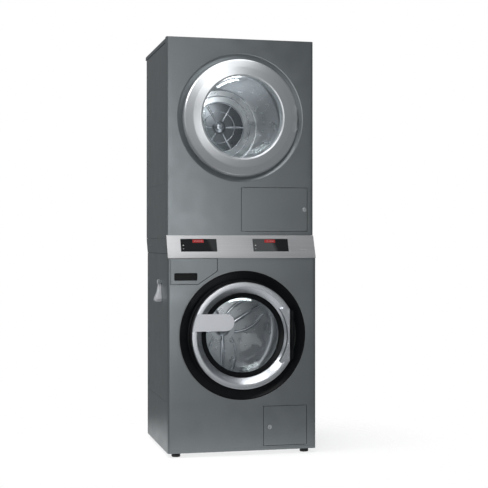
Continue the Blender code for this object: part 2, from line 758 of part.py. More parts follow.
def build_drum():
    body = pivot("washer_drum_axis", (0, 0, WASHER_Z), CABINET)
    wall = 0.002
    shell = [
        (0, 0.4380),
        (DRUM_RADIUS - wall, 0.4380),
        (DRUM_RADIUS - wall, 0.0920),
        (0.2050, 0.0920),
        (0.2050, 0.0900),
        (DRUM_RADIUS, 0.0900),
        (DRUM_RADIUS, 0.4400),
        (0, 0.4400),
    ]
    centre = (0, 0, WASHER_Z)
    drum = piece("washer_drum", turned(shell, SEEN), "stainless", body, centre)
    add_lifters(drum, WASHER_Z, DRUM_RADIUS - 0.0012, 0.055, (0.105, 0.425), 30)
    hub = [(0, 0.4404), (0.050, 0.4404), (0.050, 0.4560), (0.030, 0.4620), (SHAFT_RADIUS, 0.4620)]
    hub += [(SHAFT_RADIUS, 0.5620), (0, 0.5620)]
    spider = piece("drum_spider", turned(hub, 32), "cast_iron", body, centre)
    for turn in range(3):
        arm = block((-0.016, 0.4408, 0.030), (0.016, 0.4540, 0.240))
        join(spider, turned_about_y(arm, 120 * turn + 60), centre)
    build_drum_pulley(body)
    build_washer_motor()


def turned_about_y(bm, degrees):
    matrix = Matrix.Rotation(math.radians(degrees), 3, "Y")
    bmesh.ops.rotate(bm, matrix=matrix, verts=bm.verts, cent=(0, 0, 0))
    return bm


def add_lifters(drum, z, radius, height, reach, first):
    """Three ribs pressed into a drum from outside, which carry the laundry up; the first at an angle."""
    wall = 0.002
    front, rear = reach
    for turn in range(3):
        rib = prism(rib_outline(radius, height), "Y", front, rear)
        join(drum, turned_about_y(rib, first + 120 * turn), (0, 0, z))
    for turn in range(3):
        inside = rib_outline(radius + 0.012, height + 0.012 - wall, 0.0045)
        hollow = prism(inside, "Y", front + wall, rear - wall)
        cut(drum, turned_about_y(hollow, first + 120 * turn), (0, 0, z))


def rib_outline(radius, height, inset=0):
    base = 0.038 - inset
    tip = 0.016 - inset / 2
    foot = math.sqrt(radius * radius - base * base)
    return [(-base, foot), (base, foot), (tip, radius - height), (-tip, radius - height)]


def build_drum_pulley(body):
    bore = SHAFT_RADIUS + 0.0005
    profile = [
        (bore, 0.5305),
        (0.030, 0.5305),
        (0.030, 0.5400),
        (BIG_PULLEY - 0.010, 0.5400),
        (BIG_PULLEY - 0.010, 0.5340),
        (BIG_PULLEY, 0.5340),
        (BIG_PULLEY, 0.5540),
        (BIG_PULLEY - 0.010, 0.5540),
        (BIG_PULLEY - 0.010, 0.5450),
        (0.030, 0.5450),
        (0.030, 0.5560),
        (bore, 0.5560),
    ]
    piece("drum_pulley", turned(profile, INSIDE), "cast_iron", body, (0, 0, WASHER_Z))


def build_washer_motor():
    place = (MOTOR_X, 0, MOTOR_Z)
    case = [(0, 0.330), (0.061, 0.330), (0.066, 0.336), (0.066, 0.494), (0.060, 0.500), (0.015, 0.500)]
    case += [(0.015, 0.506), (0, 0.506)]
    motor = piece("washer_motor", turned(case, 32), "motor", CABINET, place)
    join(motor, block((MOTOR_X - 0.02, 0.37, MOTOR_Z), (MOTOR_X + 0.02, 0.46, 0.2465)))
    spin = pivot("washer_motor_axis", place, CABINET)
    wheel = [(0, 0.5065), (0.0075, 0.5065), (0.0075, 0.532), (SMALL_PULLEY, 0.532)]
    wheel += [(SMALL_PULLEY, 0.556), (0, 0.556)]
    piece("washer_motor_pulley", turned(wheel, 24), "galvanised", spin, place)
    big = (0, WASHER_Z)
    small = (MOTOR_X, MOTOR_Z)
    build_belt("washer_belt", big, BIG_PULLEY, small, SMALL_PULLEY, 0.536, 0.552, 0.003)


def build_belt(name, big, big_radius, small, small_radius, low, high, thick):
    """A belt round two wheels, with straight runs along their outer tangents."""
    loops = []
    for extra in (BELT_GAP + thick, BELT_GAP):
        loops.append(belt_outline(big, big_radius + extra, small, small_radius + extra))
    piece(name, band(loops[0], loops[1], "Y", low, high), "rubber", CABINET)


def belt_outline(big, big_radius, small, small_radius):
    away = math.atan2(small[1] - big[1], small[0] - big[0])
    distance = math.dist(big, small)
    side = math.acos((big_radius - small_radius) / distance)
    first = math.degrees(away + side)
    last = math.degrees(away - side) + 360
    points = arc(big, big_radius, first, last, 40)
    return points + arc(small, small_radius, last - 360, first, 10)


# ---------------------------------------------------------------- detergent drawer, pump, connections


def drawer_outline(edge, top):
    """The drawer's front with its lower right corner cut off, grown by edge."""
    return [
        (-0.3330 - edge, 0.7810 - edge),
        (-0.2085 + edge * 0.4, 0.7810 - edge),
        (-0.1200 + edge, 0.8410 - edge * 0.4),
        (-0.1200 + edge, top),
        (-0.3330 - edge, top),
    ]


def build_drawer():
    body = pivot("dispenser_axis", (-0.2375, 0, 0.855), CABINET)
    front = prism(drawer_outline(0, 0.8970), "Y", 0, 0.018)
    face = piece("dispenser_front", front, "iron_grey", body)
    cut(face, block((-0.317, -0.02, 0.798), (-0.212, 0.014, 0.832)))
    low = (-0.3250, 0.0184, 0.8260)
    high = (-0.1500, 0.2600, 0.8870)
    tray = piece("dispenser_tray", block(low, high), "pale_plastic", body)
    wall = 0.0025
    third = (high[0] - low[0] - wall) / 3
    for i in range(3):
        left = low[0] + wall + third * i
        cut(tray, block((left, low[1] + wall, low[2] + wall), (left + third - wall, high[1] - wall, 0.9)))
    housing = block((-0.3310, 0.0200, 0.8195), (-0.1440, 0.3000, 0.8940))
    case = piece("dispenser_housing", housing, "pale_plastic", CABINET)
    cut(case, block((-0.3285, 0.0, 0.8220), (-0.1465, 0.2975, 0.8915)))


def build_water_parts():
    gland = [(0, 0.580), (0.017, 0.580), (0.017, 0.5948), (0.012, 0.5948), (0.012, 0.6140)]
    gland += [(0.0085, 0.6160), (0.0085, 0.584), (0, 0.584)]
    piece("cable_gland", turned(gland, 20), "black_plastic", CABINET, GLAND_PLACE)
    bar = block((-0.250, 0.565, INLET_Z - 0.018), (-0.150, 0.594, INLET_Z + 0.018))
    inlet = piece("water_inlet", bar, "brass", CABINET)
    for x in INLET_XS:
        join(inlet, rod(0.0132, 0.580, 0.640, 20), (x, 0, INLET_Z))
        cut(inlet, rod(0.0090, 0.600, 0.660, 16), (x, 0, INLET_Z))
    profile = [(0, 0.024), (0.030, 0.024), (0.030, 0.042), (0.048, 0.046), (0.048, 0.130), (0.038, 0.138)]
    profile += [(DRAIN_RADIUS, 0.138), (DRAIN_RADIUS, 0.640), (0.0225, 0.640), (0.0225, 0.150), (0, 0.150)]
    piece("drain_pump", turned(profile, 32), "pale_plastic", CABINET, (DRAIN_X, 0, DRAIN_Z))


# ---------------------------------------------------------------- dryer door


def build_dryer_door():
    body = pivot("dryer_door_axis", (DRYER_HINGE_X, DRYER_HINGE_Y, DRYER_Z), CABINET)
    centre = (0, DRYER_FRONT, DRYER_Z)
    wall = 0.003
    profile = [
        (DRYER_RING, 0.0060),
        (DRYER_RING, -0.0140),
        (0.2630, -0.0215),
        (0.2500, -0.0300),
        (0.2320, -0.0380),
        (0.2120, -0.0435),
        (0.1930, -0.0465),
        (0.1875, -0.0440),
        (0.1875, 0.0060),
        (0.2225, 0.0060),
        (0.2225, 0.0060 - wall),
        (0.1875 + wall, 0.0060 - wall),
        (0.1875 + wall, -0.0430),
        (0.2110, -0.0402),
        (0.2390, -0.0315),
        (DRYER_RING - wall, -0.0130),
        (DRYER_RING - wall, 0.0060),
    ]
    ring = piece("dryer_door_ring", turned(profile, SEEN), "satin_silver", body, centre)
    low = (0.2200, DRYER_FRONT - 0.0240, DRYER_Z - 0.060)
    join(ring, block(low, (0.2560, DRYER_FRONT, DRYER_Z + 0.060)))
    low = (0.2360, DRYER_FRONT - 0.0175, DRYER_Z - 0.050)
    cut(ring, block(low, (0.290, DRYER_FRONT + 0.02, DRYER_Z + 0.050)))
    add_dryer_knuckles(ring)
    flange = [(0.1868, -0.0250), (0.1868, -0.0190), (0.1800, -0.0190), (0.1760, 0.0100), (0.1640, 0.0400)]
    flange += [(0.1400, 0.0650), (0.1000, 0.0820), (0.0500, 0.0900), (0, 0.0920)]
    inner = [(0, 0.0870), (0.0500, 0.0850), (0.0980, 0.0770), (0.1360, 0.0610), (0.1590, 0.0380)]
    inner += [(0.1710, 0.0090), (0.1750, -0.0250)]
    piece("dryer_door_glass", turned(flange + inner, 40), "glass", body, centre)
    seal = [(0.2040, 0.0064), (0.2200, 0.0064), (0.2180, 0.0094), (0.2060, 0.0094)]
    piece("dryer_door_seal", turned(seal, INSIDE), "rubber", body, centre)


def add_dryer_knuckles(ring):
    x, y = DRYER_HINGE_X, DRYER_HINGE_Y
    for way in (-1, 1):
        low = min(way * 0.0290, way * 0.0520)
        high = max(way * 0.0290, way * 0.0520)
        low_end = (0.230, y - 0.0060, DRYER_Z + low + KNUCKLE_STEP)
        join(ring, block(low_end, (x, y + 0.0035, DRYER_Z + high - KNUCKLE_STEP)))
        join(ring, rod(0.0044, low, high, 16, "Z"), (x, y, DRYER_Z))
    cut(ring, rod(0.0029, -0.0450, 0.0450, 12, "Z"), (x, y, DRYER_Z))


# ---------------------------------------------------------------- dryer inside


def build_dryer_drum():
    body = pivot("dryer_drum_axis", (0, 0, DRYER_Z), CABINET)
    centre = (0, 0, DRYER_Z)
    wall = 0.002
    hole = 0.128
    shell = [
        (0.2150, 0.1000),
        (DRYER_DRUM, 0.1000),
        (DRYER_DRUM, 0.4310),
        (0.1910, 0.5200),
        (hole, 0.5200),
        (hole, 0.5180),
        (0.1900, 0.5180),
        (DRYER_DRUM - wall, 0.4295),
        (DRYER_DRUM - wall, 0.1020),
        (0.2150, 0.1020),
    ]
    drum = piece("dryer_drum", turned(shell, SEEN), "stainless", body, centre)
    add_lifters(drum, DRYER_Z, DRYER_DRUM - 0.0012, 0.045, (0.115, 0.420), 0)
    disc = [
        (0, 0.5160),
        (0.030, 0.5160),
        (0.034, 0.5175),
        (hole - 0.0008, 0.5175),
        (hole - 0.0008, 0.5205),
        (0.040, 0.5205),
        (SHAFT_RADIUS, 0.5240),
        (SHAFT_RADIUS, 0.5860),
        (0, 0.5860),
    ]
    back = piece("dryer_drum_back", turned(disc, INSIDE), "stainless", body, centre)
    for turn in range(6):
        spoke = block((-0.005, 0.5145, 0.028), (0.005, 0.5185, 0.122))
        join(back, turned_about_y(spoke, 60 * turn + 30), centre)


def build_heater():
    """The bulkhead behind the drum, with the drum's bearing and the heater box."""
    plate = block((-0.300, 0.5600, 1.260), (0.300, 0.5640, 1.830))
    heater = piece("dryer_heater", plate, "galvanised", CABINET)
    join(heater, block((-0.180, 0.5620, 1.660), (0.180, 0.6180, 1.800)))
    cut(heater, block((-0.176, 0.5660, 1.640), (0.176, 0.6140, 1.796)))
    join(heater, rod(0.045, 0.5350, 0.5900, 32), (0, 0, DRYER_Z))
    cut(heater, rod(BOSS_BORE, 0.5, 0.65, 32), (0, 0, DRYER_Z))


def build_dryer_drive():
    place = (FAN_X, 0, FAN_Z)
    case = [(0, 0.380), (0.055, 0.380), (0.060, 0.386), (0.060, 0.514), (0.055, 0.520), (0, 0.520)]
    motor = piece("dryer_motor", turned(case, 32), "motor", CABINET, place)
    join(motor, block((FAN_X - 0.03, 0.40, FRAME_TOP + GAP), (FAN_X + 0.03, 0.50, FAN_Z)))
    body = pivot("dryer_motor_axis", place, CABINET)
    shaft = [(0, 0.3000), (0.0075, 0.3000), (0.0075, 0.3555), (DRYER_PULLEY, 0.3555)]
    shaft += [(DRYER_PULLEY, 0.3745), (0.0075, 0.3745), (0.0075, 0.3796), (0, 0.3796)]
    piece("dryer_motor_pulley", turned(shaft, 24), "galvanised", body, place)
    build_fan(body, place)
    drum = (0, DRYER_Z)
    build_belt("dryer_belt", drum, DRYER_DRUM, (FAN_X, FAN_Z), DRYER_PULLEY, 0.358, 0.372, 0.002)


def build_fan(body, place):
    """A wheel with straight blades on the motor's shaft."""
    blades = 10
    outline = []
    for i in range(blades):
        for step, radius in ((-4, 0.030), (-3, 0.072), (3, 0.072), (4, 0.030)):
            angle = math.radians(360 * i / blades + step)
            outline.append((radius * math.cos(angle), radius * math.sin(angle)))
    fan = piece("dryer_fan", prism(outline, "Y", 0.305, 0.340), "pale_plastic", body, place)
    cut(fan, rod(0.0080, 0.29, 0.36, 16), place)


def build_blower():
    """The fan's housing, with the duct and the exhaust pipe that leaves at the back."""
    centre = (FAN_X, 0, FAN_Z)
    blower = piece("dryer_blower", rod(0.088, 0.280, 0.350, INSIDE), "galvanised", CABINET, centre)
    pipe = (PIPE_X, 0, PIPE_Z)
    join(blower, block((FAN_X, 0.2865, PIPE_Z - 0.042), (PIPE_X, 0.3435, PIPE_Z + 0.042)))
    join(blower, rod(0.050, 0.2820, PIPE_END, 32), pipe)
    cut(blower, rod(0.085, 0.2830, 0.3470, INSIDE), centre)
    cut(blower, block((FAN_X, 0.2895, PIPE_Z - 0.039), (PIPE_X, 0.3405, PIPE_Z + 0.039)))
    cut(blower, rod(0.047, 0.2850, 0.8, 32), pipe)
    cut(blower, rod(0.042, 0.2, 0.31, 24), centre)
    cut(blower, rod(0.0110, 0.3, 0.37, 16), centre)


def build_lint_filter():
    """A frame of crossed bars that slides in behind the lower flap."""
    low = (0.030, 0.090, 1.045)
    high = (0.290, 0.240, 1.195)
    lint = piece("lint_filter", block(low, high), "pale_plastic", CABINET)
    cut(lint, block((low[0] + 0.005, 0.0, low[2] + 0.005), (high[0] - 0.005, 0.235, high[2] - 0.005)))
    for column in range(3):
        left = low[0] + 0.012 + 0.082 * column
        cut(lint, block((left, 0.2, low[2] + 0.012), (left + 0.072, 0.3, high[2] - 0.012)))


# ---------------------------------------------------------------- assembly

clear_scene()
MACHINE = pivot("machine_origin", -ORIGIN)
CABINET = pivot("cabinet", (0, 0, 0), (MACHINE[0], Vector((0, 0, 0))))
build_washer_cabinet()
build_side_lever()
build_stacking_frame()
build_fascia()
build_dryer_cabinet()
build_flap("service_flap", SERVICE_FLAP, 0, 1, SERVICE_LOCK)
build_flap("filter_flap", FILTER_FLAP, DRYER_FRONT, -1, FILTER_LOCK)
build_surround()
build_door_lock()
build_hinge_bracket()
build_washer_door()
build_tub()
build_drum()
build_drawer()
build_water_parts()
build_dryer_door()
build_dryer_drum()
build_heater()
build_dryer_drive()
build_blower()
build_lint_filter()
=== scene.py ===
"""Looks of the washer dryer stack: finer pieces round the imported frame, materials, floor, light, camera.

Pieces are modelled in a design frame: X to the right, Y to the back and Z up from the floor, with its
origin under the middle of the washer's front. piece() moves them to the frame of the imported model.
"""

import math

import bmesh
import bpy
from mathutils import Matrix, Vector


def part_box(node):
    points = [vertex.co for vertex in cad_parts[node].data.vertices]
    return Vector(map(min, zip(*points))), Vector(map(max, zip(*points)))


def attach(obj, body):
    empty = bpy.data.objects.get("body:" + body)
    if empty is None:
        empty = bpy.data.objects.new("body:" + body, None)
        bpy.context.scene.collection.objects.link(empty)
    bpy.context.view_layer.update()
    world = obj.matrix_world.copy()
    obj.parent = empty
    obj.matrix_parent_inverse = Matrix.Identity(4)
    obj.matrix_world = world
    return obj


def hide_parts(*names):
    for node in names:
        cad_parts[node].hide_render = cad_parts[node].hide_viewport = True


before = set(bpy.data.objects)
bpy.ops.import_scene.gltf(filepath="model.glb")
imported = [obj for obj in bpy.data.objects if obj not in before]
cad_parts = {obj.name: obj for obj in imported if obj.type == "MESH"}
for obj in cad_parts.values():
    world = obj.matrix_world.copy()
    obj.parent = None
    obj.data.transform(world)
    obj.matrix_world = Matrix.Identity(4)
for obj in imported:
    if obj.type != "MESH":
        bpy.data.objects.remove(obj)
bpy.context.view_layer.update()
FRONT_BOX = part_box("washer_front_panel")
SHIFT = Vector(((FRONT_BOX[0][0] + FRONT_BOX[1][0]) / 2, FRONT_BOX[0][1], 0))

HALF = 0.346
CORNER = 0.011
SHEET = 0.002
WASHER_Z = 0.547
DRYER_Z = 1.542
DRYER_FRONT = 0.043
FASCIA_LOW = 0.8985
FASCIA_HIGH = 1.0025
STACK_TOP = 1.904
SERVICE_FLAP = (0.0975, 0.3005, 0.0405, 0.2195)
FILTER_FLAP = (0.004, 0.316, 1.0215, 1.222)
SERVICE_LOCK = (0.126, 0.125)  # (x, z) of a flap's quarter-turn lock
FILTER_LOCK = (0.3035, 1.121)
WASHER_HINGE = (0.226, -0.020)  # (x, y) of a door's hinge pin
DRYER_HINGE = (0.262, DRYER_FRONT - 0.012)
HANDLE_Z = 0.6095
STAR_Y = 0.4382  # where the pressed star stands on the washer drum's back
DISC_Y = 0.5176  # the same for the spokes of the dryer drum's back
LEVER_PIVOT = (-0.356, 0.788)  # (x, z) of the pin that the side lever swings on
LEVER_BACK = 0.0092  # how far the lever's back is from that pin
TILT = math.atan2(DRYER_FRONT, FASCIA_HIGH - FASCIA_LOW)
DISPLAY_MID = Vector((0, (0.9575 - FASCIA_LOW) * math.tan(TILT), 0.9575))
DISPLAY_XS = (-0.200, 0.1365)
ROUND = 144  # facets round a turned piece


# ---------------------------------------------------------------- camera, light and floor


def add_camera():
    data = bpy.data.cameras.new("camera")
    data.lens = 87.67
    data.shift_y = -0.0089
    camera = bpy.data.objects.new("camera", data)
    camera.location = (-1.2306, -5.5879, 0.9828)
    camera.rotation_euler = (math.radians(90), 0, math.radians(-13.37))
    bpy.context.scene.collection.objects.link(camera)
    bpy.context.scene.camera = camera


def add_softbox(name, place, aim, size, radiance, colour=(1, 1, 1)):
    """A rectangular light that the camera doesn't see; a mirror would show it at this radiance."""
    data = bpy.data.lights.new(name, "AREA")
    data.shape = "RECTANGLE"
    data.size, data.size_y = size
    data.energy = radiance * math.pi * size[0] * size[1]
    data.color = colour
    light = bpy.data.objects.new(name, data)
    light.location = place
    light.rotation_euler = (Vector(aim) - Vector(place)).to_track_quat("-Z", "Z").to_euler()
    light.visible_camera = False
    bpy.context.scene.collection.objects.link(light)


def add_drum_light(name, place, power):
    """A small soft light inside a drum, which brings out the steel behind the door's glass."""
    data = bpy.data.lights.new(name, "POINT")
    data.shadow_soft_size = 0.05
    data.energy = power
    light = bpy.data.objects.new(name, data)
    light.location = Vector(place) + SHIFT
    light.visible_camera = False
    bpy.context.scene.collection.objects.link(light)


def add_world():
    """White behind the object, and a dim even grey for everything that it lights."""
    world = bpy.data.worlds.new("studio")
    world.use_nodes = True
    tree = world.node_tree
    tree.nodes.clear()
    path = tree.nodes.new("ShaderNodeLightPath")
    seen = tree.nodes.new("ShaderNodeBackground")
    felt = tree.nodes.new("ShaderNodeBackground")
    mix = tree.nodes.new("ShaderNodeMixShader")
    out = tree.nodes.new("ShaderNodeOutputWorld")
    seen.inputs["Color"].default_value = (1, 1, 1, 1)
    felt.inputs["Color"].default_value = (0.93, 0.97, 1, 1)
    felt.inputs["Strength"].default_value = 0.19
    tree.links.new(path.outputs["Is Camera Ray"], mix.inputs[0])
    tree.links.new(felt.outputs[0], mix.inputs[1])
    tree.links.new(seen.outputs[0], mix.inputs[2])
    tree.links.new(mix.outputs[0], out.inputs["Surface"])
    bpy.context.scene.world = world
    bpy.context.scene.view_settings.view_transform = "Standard"


# ---------------------------------------------------------------- shapes


def soften(points, radius, steps=4, closed=True):
    """An outline with its corners rounded; radius is one number or one for each point."""
    result = []
    count = len(points)
    for i, point in enumerate(points):
        reach = radius[i] if isinstance(radius, (list, tuple)) else radius
        corner = Vector(point)
        if reach == 0 or (not closed and i in (0, count - 1)):
            result.append(tuple(corner))
            continue
        before = Vector(points[i - 1]) - corner
        after = Vector(points[(i + 1) % count]) - corner
        half = before.angle(after) / 2
        along = min(reach / math.tan(half), before.length * 0.48, after.length * 0.48)
        start = corner + before.normalized() * along
        end = corner + after.normalized() * along
        for step in range(steps + 1):
            t = step / steps
            result.append(tuple(start * (1 - t) ** 2 + corner * (2 * t * (1 - t)) + end * t**2))
    return result


def lathe(profile, centre=(0, 0, 0), segments=ROUND, axis="Y"):
    """A closed profile of (radius, distance along the axis) turned round the axis."""
    bm = bmesh.new()
    rings = []
    for radius, along in profile:
        ring = []
        for i in range(segments if radius > 1e-6 else 1):
            angle = math.tau * i / segments
            across = (radius * math.cos(angle), radius * math.sin(angle))
            if axis == "Y":
                point = (across[0], along, across[1])
            elif axis == "Z":
                point = (across[0], across[1], along)
            else:
                point = (along, across[0], across[1])
            ring.append(bm.verts.new(Vector(point) + Vector(centre)))
        rings.append(ring)
    for ring, after in zip(rings, rings[1:] + rings[:1]):
        for i in range(segments):
            if len(ring) == 1 and len(after) == 1:
                break
            j = (i + 1) % segments
            corners = [
                ring[i % len(ring)], ring[j % len(ring)], after[j % len(after)], after[i % len(after)]
            ]
            bm.faces.new(list(dict.fromkeys(corners)))
    return bm


def rod(radius, low, high, *place):
    """A straight cylinder; place is the centre, segments and axis that lathe takes."""
    return lathe([(0, low), (radius, low), (radius, high), (0, high)], *place)


def to_space(axis, first, second, along):
    if axis == "X":
        return Vector((along, first, second))
    if axis == "Y":
        return Vector((first, along, second))
    return Vector((first, second, along))


def prism(outline, axis, low, high):
    bm = bmesh.new()
    ends = [[bm.verts.new(to_space(axis, *point, along)) for point in outline] for along in (low, high)]
    bm.faces.new(ends[0])
    bm.faces.new(ends[1])
    for i in range(len(outline)):
        j = (i + 1) % len(outline)
        bm.faces.new((ends[0][i], ends[0][j], ends[1][j], ends[1][i]))
    return bm


def block(low, high):
    return prism(
        [(low[0], low[1]), (high[0], low[1]), (high[0], high[1]), (low[0], high[1])], "Z", low[2], high[2]
    )


def slab(low, high, radius, axis="Y"):
    """A block whose corners are rounded across the axis."""
    first, second = {"X": (1, 2), "Y": (0, 2), "Z": (0, 1)}[axis]
    outline = [
        (low[first], low[second]),
        (high[first], low[second]),
        (high[first], high[second]),
        (low[first], high[second]),
    ]
    along = {"X": 0, "Y": 1, "Z": 2}[axis]
    return prism(soften(outline, radius), axis, low[along], high[along])


def skinned(rows):
    """A closed shell over rows of points, all of one length, with both ends capped."""
    bm = bmesh.new()
    loops = [[bm.verts.new(point) for point in row] for row in rows]
    for before, after in zip(loops, loops[1:]):
        for i in range(len(before)):
            j = (i + 1) % len(before)
            bm.faces.new((before[i], before[j], after[j], after[i]))
    bm.faces.new(loops[0])
    bm.faces.new(loops[-1])
    return bm


def arc(centre, radius, start, end, steps):
    angles = [math.radians(start + (end - start) * i / steps) for i in range(steps + 1)]
    return [(centre[0] + radius * math.cos(a), centre[1] + radius * math.sin(a)) for a in angles]


def moved(bm, offset):
    bmesh.ops.translate(bm, vec=offset, verts=bm.verts)
    return bm


def turned(bm, degrees, axis="Y", about=(0, 0, 0)):
    bmesh.ops.rotate(bm, matrix=Matrix.Rotation(math.radians(degrees), 3, axis), verts=bm.verts, cent=about)
    return bm


def merged(parts):
    """One bmesh that holds all of these as separate shells."""
    whole = bmesh.new()
    for part in parts:
        bmesh.ops.recalc_face_normals(part, faces=part.faces)
        mesh = bpy.data.meshes.new("part")
        part.to_mesh(mesh)
        part.free()
        whole.from_mesh(mesh)
        bpy.data.meshes.remove(mesh)
    return whole


def helper_object(bm):
    bmesh.ops.recalc_face_normals(bm, faces=bm.faces)
    mesh = bpy.data.meshes.new("helper")
    bm.to_mesh(mesh)
    bm.free()
    obj = bpy.data.objects.new("helper", mesh)
    bpy.context.scene.collection.objects.link(obj)
    return obj


def carved(bm, tools, operation="DIFFERENCE"):
    """bm with each tool cut from it (or joined on), as a new bmesh."""
    body = helper_object(bm)
    helpers = [helper_object(tool) for tool in tools]
    for helper in helpers:
        modifier = body.modifiers.new("carve", "BOOLEAN")
        modifier.operation = operation
        modifier.solver = "EXACT"
        modifier.object = helper
    result = bmesh.new()
    result.from_object(body, bpy.context.evaluated_depsgraph_get())
    for obj in [body] + helpers:
        mesh = obj.data
        bpy.data.objects.remove(obj)
        bpy.data.meshes.remove(mesh)
    return result


def piece(name, bm, material, body, replaced=(), bevel=0.0, sharp=34):
    """A shown piece made of bm. It rides on a body and stands for CAD nodes."""
    bmesh.ops.recalc_face_normals(bm, faces=bm.faces)
    bmesh.ops.translate(bm, vec=SHIFT, verts=bm.verts)
    mesh = bpy.data.meshes.new(name)
    bm.to_mesh(mesh)
    bm.free()
    obj = bpy.data.objects.new(name, mesh)
    bpy.context.scene.collection.objects.link(obj)
    mesh.shade_smooth()
    mesh.set_sharp_from_angle(angle=math.radians(sharp))
    mesh.materials.append(material)
    if bevel:
        modifier = obj.modifiers.new("bevel", "BEVEL")
        modifier.width = bevel
        modifier.segments = 2
        modifier.limit_method = "ANGLE"
        modifier.angle_limit = math.radians(40)
        modifier.harden_normals = True
    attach(obj, body)
    if replaced:
        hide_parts(*replaced)
    return obj


def painted(looks, name, bm, replaced=(), bevel=0.0):
    """A piece of painted sheet metal on the cabinet."""
    return piece(name, bm, looks["paint"], "cabinet", replaced, bevel)


# ---------------------------------------------------------------- materials


class Look:
    """A Principled material whose patterns are nodes on the object's own coordinates."""

    def __init__(self, name, colour, roughness, metallic=0.0, **sockets):
        self.material = bpy.data.materials.new(name)
        self.material.use_nodes = True
        self.tree = self.material.node_tree
        self.shader = self.tree.nodes["Principled BSDF"]
        self.shader.inputs["Base Color"].default_value = (*colour, 1)
        self.shader.inputs["Roughness"].default_value = roughness
        self.shader.inputs["Metallic"].default_value = metallic
        for socket, value in sockets.items():
            self.shader.inputs[socket.replace("_", " ")].default_value = value
        self.place = self.node("TexCoord").outputs["Object"]
        self.normal = None

    def node(self, kind, inputs=None, **settings):
        made = self.tree.nodes.new("ShaderNode" + kind)
        for key, value in settings.items():
            setattr(made, key, value)
        for key, value in (inputs or {}).items():
            if isinstance(value, bpy.types.NodeSocket):
                self.tree.links.new(value, made.inputs[key])
            else:
                made.inputs[key].default_value = value
        return made

    def math(self, operation, *values):
        return self.node("Math", dict(enumerate(values)), operation=operation).outputs[0]

    def noise(self, scale, stretch=(1, 1, 1), detail=3.0):
        where = self.node("Mapping", {"Vector": self.place, "Scale": stretch}).outputs[0]
        return self.node("TexNoise", {"Vector": where, "Scale": scale, "Detail": detail}).outputs["Fac"]

    def ramp(self, factor, stops):
        made = self.node("ValToRGB", {"Fac": factor})
        elements = made.color_ramp.elements
        while len(elements) < len(stops):
            elements.new(0.5)
        for element, (position, colour) in zip(elements, stops):
            element.position = position
            element.color = (*colour, 1)
        return made.outputs["Color"]

    def between(self, factor, low, high, start=0.0, end=1.0):
        inputs = {"Value": factor, "From Min": start, "From Max": end, "To Min": low, "To Max": high}
        return self.node("MapRange", inputs).outputs[0]

    def paint(self, factor, dark, light, start=0.3, end=0.7):
        self.drive("Base Color", self.ramp(factor, [(start, dark), (end, light)]))

    def drive(self, socket, value):
        self.tree.links.new(value, self.shader.inputs[socket])

    def rough(self, factor, low, high):
        self.drive("Roughness", self.between(factor, low, high, 0.3, 0.7))

    def mixed(self, factor, first, second):
        """Shows a mix of two shaders in place of the Principled one."""
        shown = self.node("MixShader", {0: factor, 1: first.outputs[0], 2: second.outputs[0]})
        self.tree.links.new(shown.outputs[0], self.tree.nodes["Material Output"].inputs["Surface"])

    def bump(self, height, strength, distance):
        inputs = {"Height": height, "Strength": strength, "Distance": distance}
        if self.normal:
            inputs["Normal"] = self.normal
        self.normal = self.node("Bump", inputs).outputs[0]
        self.drive("Normal", self.normal)

    def polar(self, z):
        """(angle in turns, radius, distance along Y) about a drum's axis."""
        centre = (-SHIFT.x, 0, -z)
        there = self.node("Mapping", {"Vector": self.place, "Location": centre}).outputs[0]
        x, y, up = self.node("SeparateXYZ", {"Vector": there}).outputs
        angle = self.math("DIVIDE", self.math("ARCTAN2", up, x), math.tau)
        squares = self.math("ADD", self.math("MULTIPLY", x, x), self.math("MULTIPLY", up, up))
        return angle, self.math("SQRT", squares), y

    def holes(self, u, v, size):
        """1 in the holes of a staggered grid whose cells are one unit of u and v."""
        row = self.math("FLOOR", v)
        odd = self.math("MULTIPLY", self.math("FLOORED_MODULO", row, 2.0), 0.5)
        across = self.math("SUBTRACT", self.math("FRACT", self.math("ADD", u, odd)), 0.5)
        along = self.math("SUBTRACT", self.math("FRACT", v), 0.5)
        squares = self.math(
            "ADD", self.math("MULTIPLY", across, across), self.math("MULTIPLY", along, along)
        )
        return self.between(squares, 1.0, 0.0, size * size * 0.6, size * size)


def tone(colour, factor):
    return tuple(c * factor for c in colour)


def make_paint():
    """Iron grey powder coat: fine orange peel, slight clouding, a little metal flake."""
    look = Look("iron_grey_paint", (0.25, 0.272, 0.282), 0.32, 0.85)
    cloud = look.noise(3.5, detail=2.0)
    look.paint(cloud, (0.243, 0.265, 0.275), (0.257, 0.279, 0.289))
    look.rough(look.noise(14.0), 0.29, 0.35)
    look.bump(look.noise(650.0, detail=2.0), 0.10, 0.0004)
    return look.material


def make_brushed(name, colour, stretch, roughness=0.34, metallic=1.0):
    look = Look(name, colour, roughness, metallic)
    grain = look.noise(60.0, stretch, 4.0)
    look.paint(grain, tone(colour, 0.94), tone(colour, 1.05))
    look.rough(grain, roughness * 0.85, roughness * 1.2)
    look.bump(grain, 0.12, 0.0003)
    return look.material


def make_satin(name, colour, roughness, metallic):
    """Bead-blasted metal: very fine grain with soft cloudy variation."""
    look = Look(name, colour, roughness, metallic)
    look.paint(look.noise(5.0), tone(colour, 0.97), tone(colour, 1.03))
    grain = look.noise(1400.0, detail=2.0)
    look.rough(grain, roughness * 0.9, roughness * 1.12)
    look.bump(grain, 0.08, 0.0002)
    return look.material


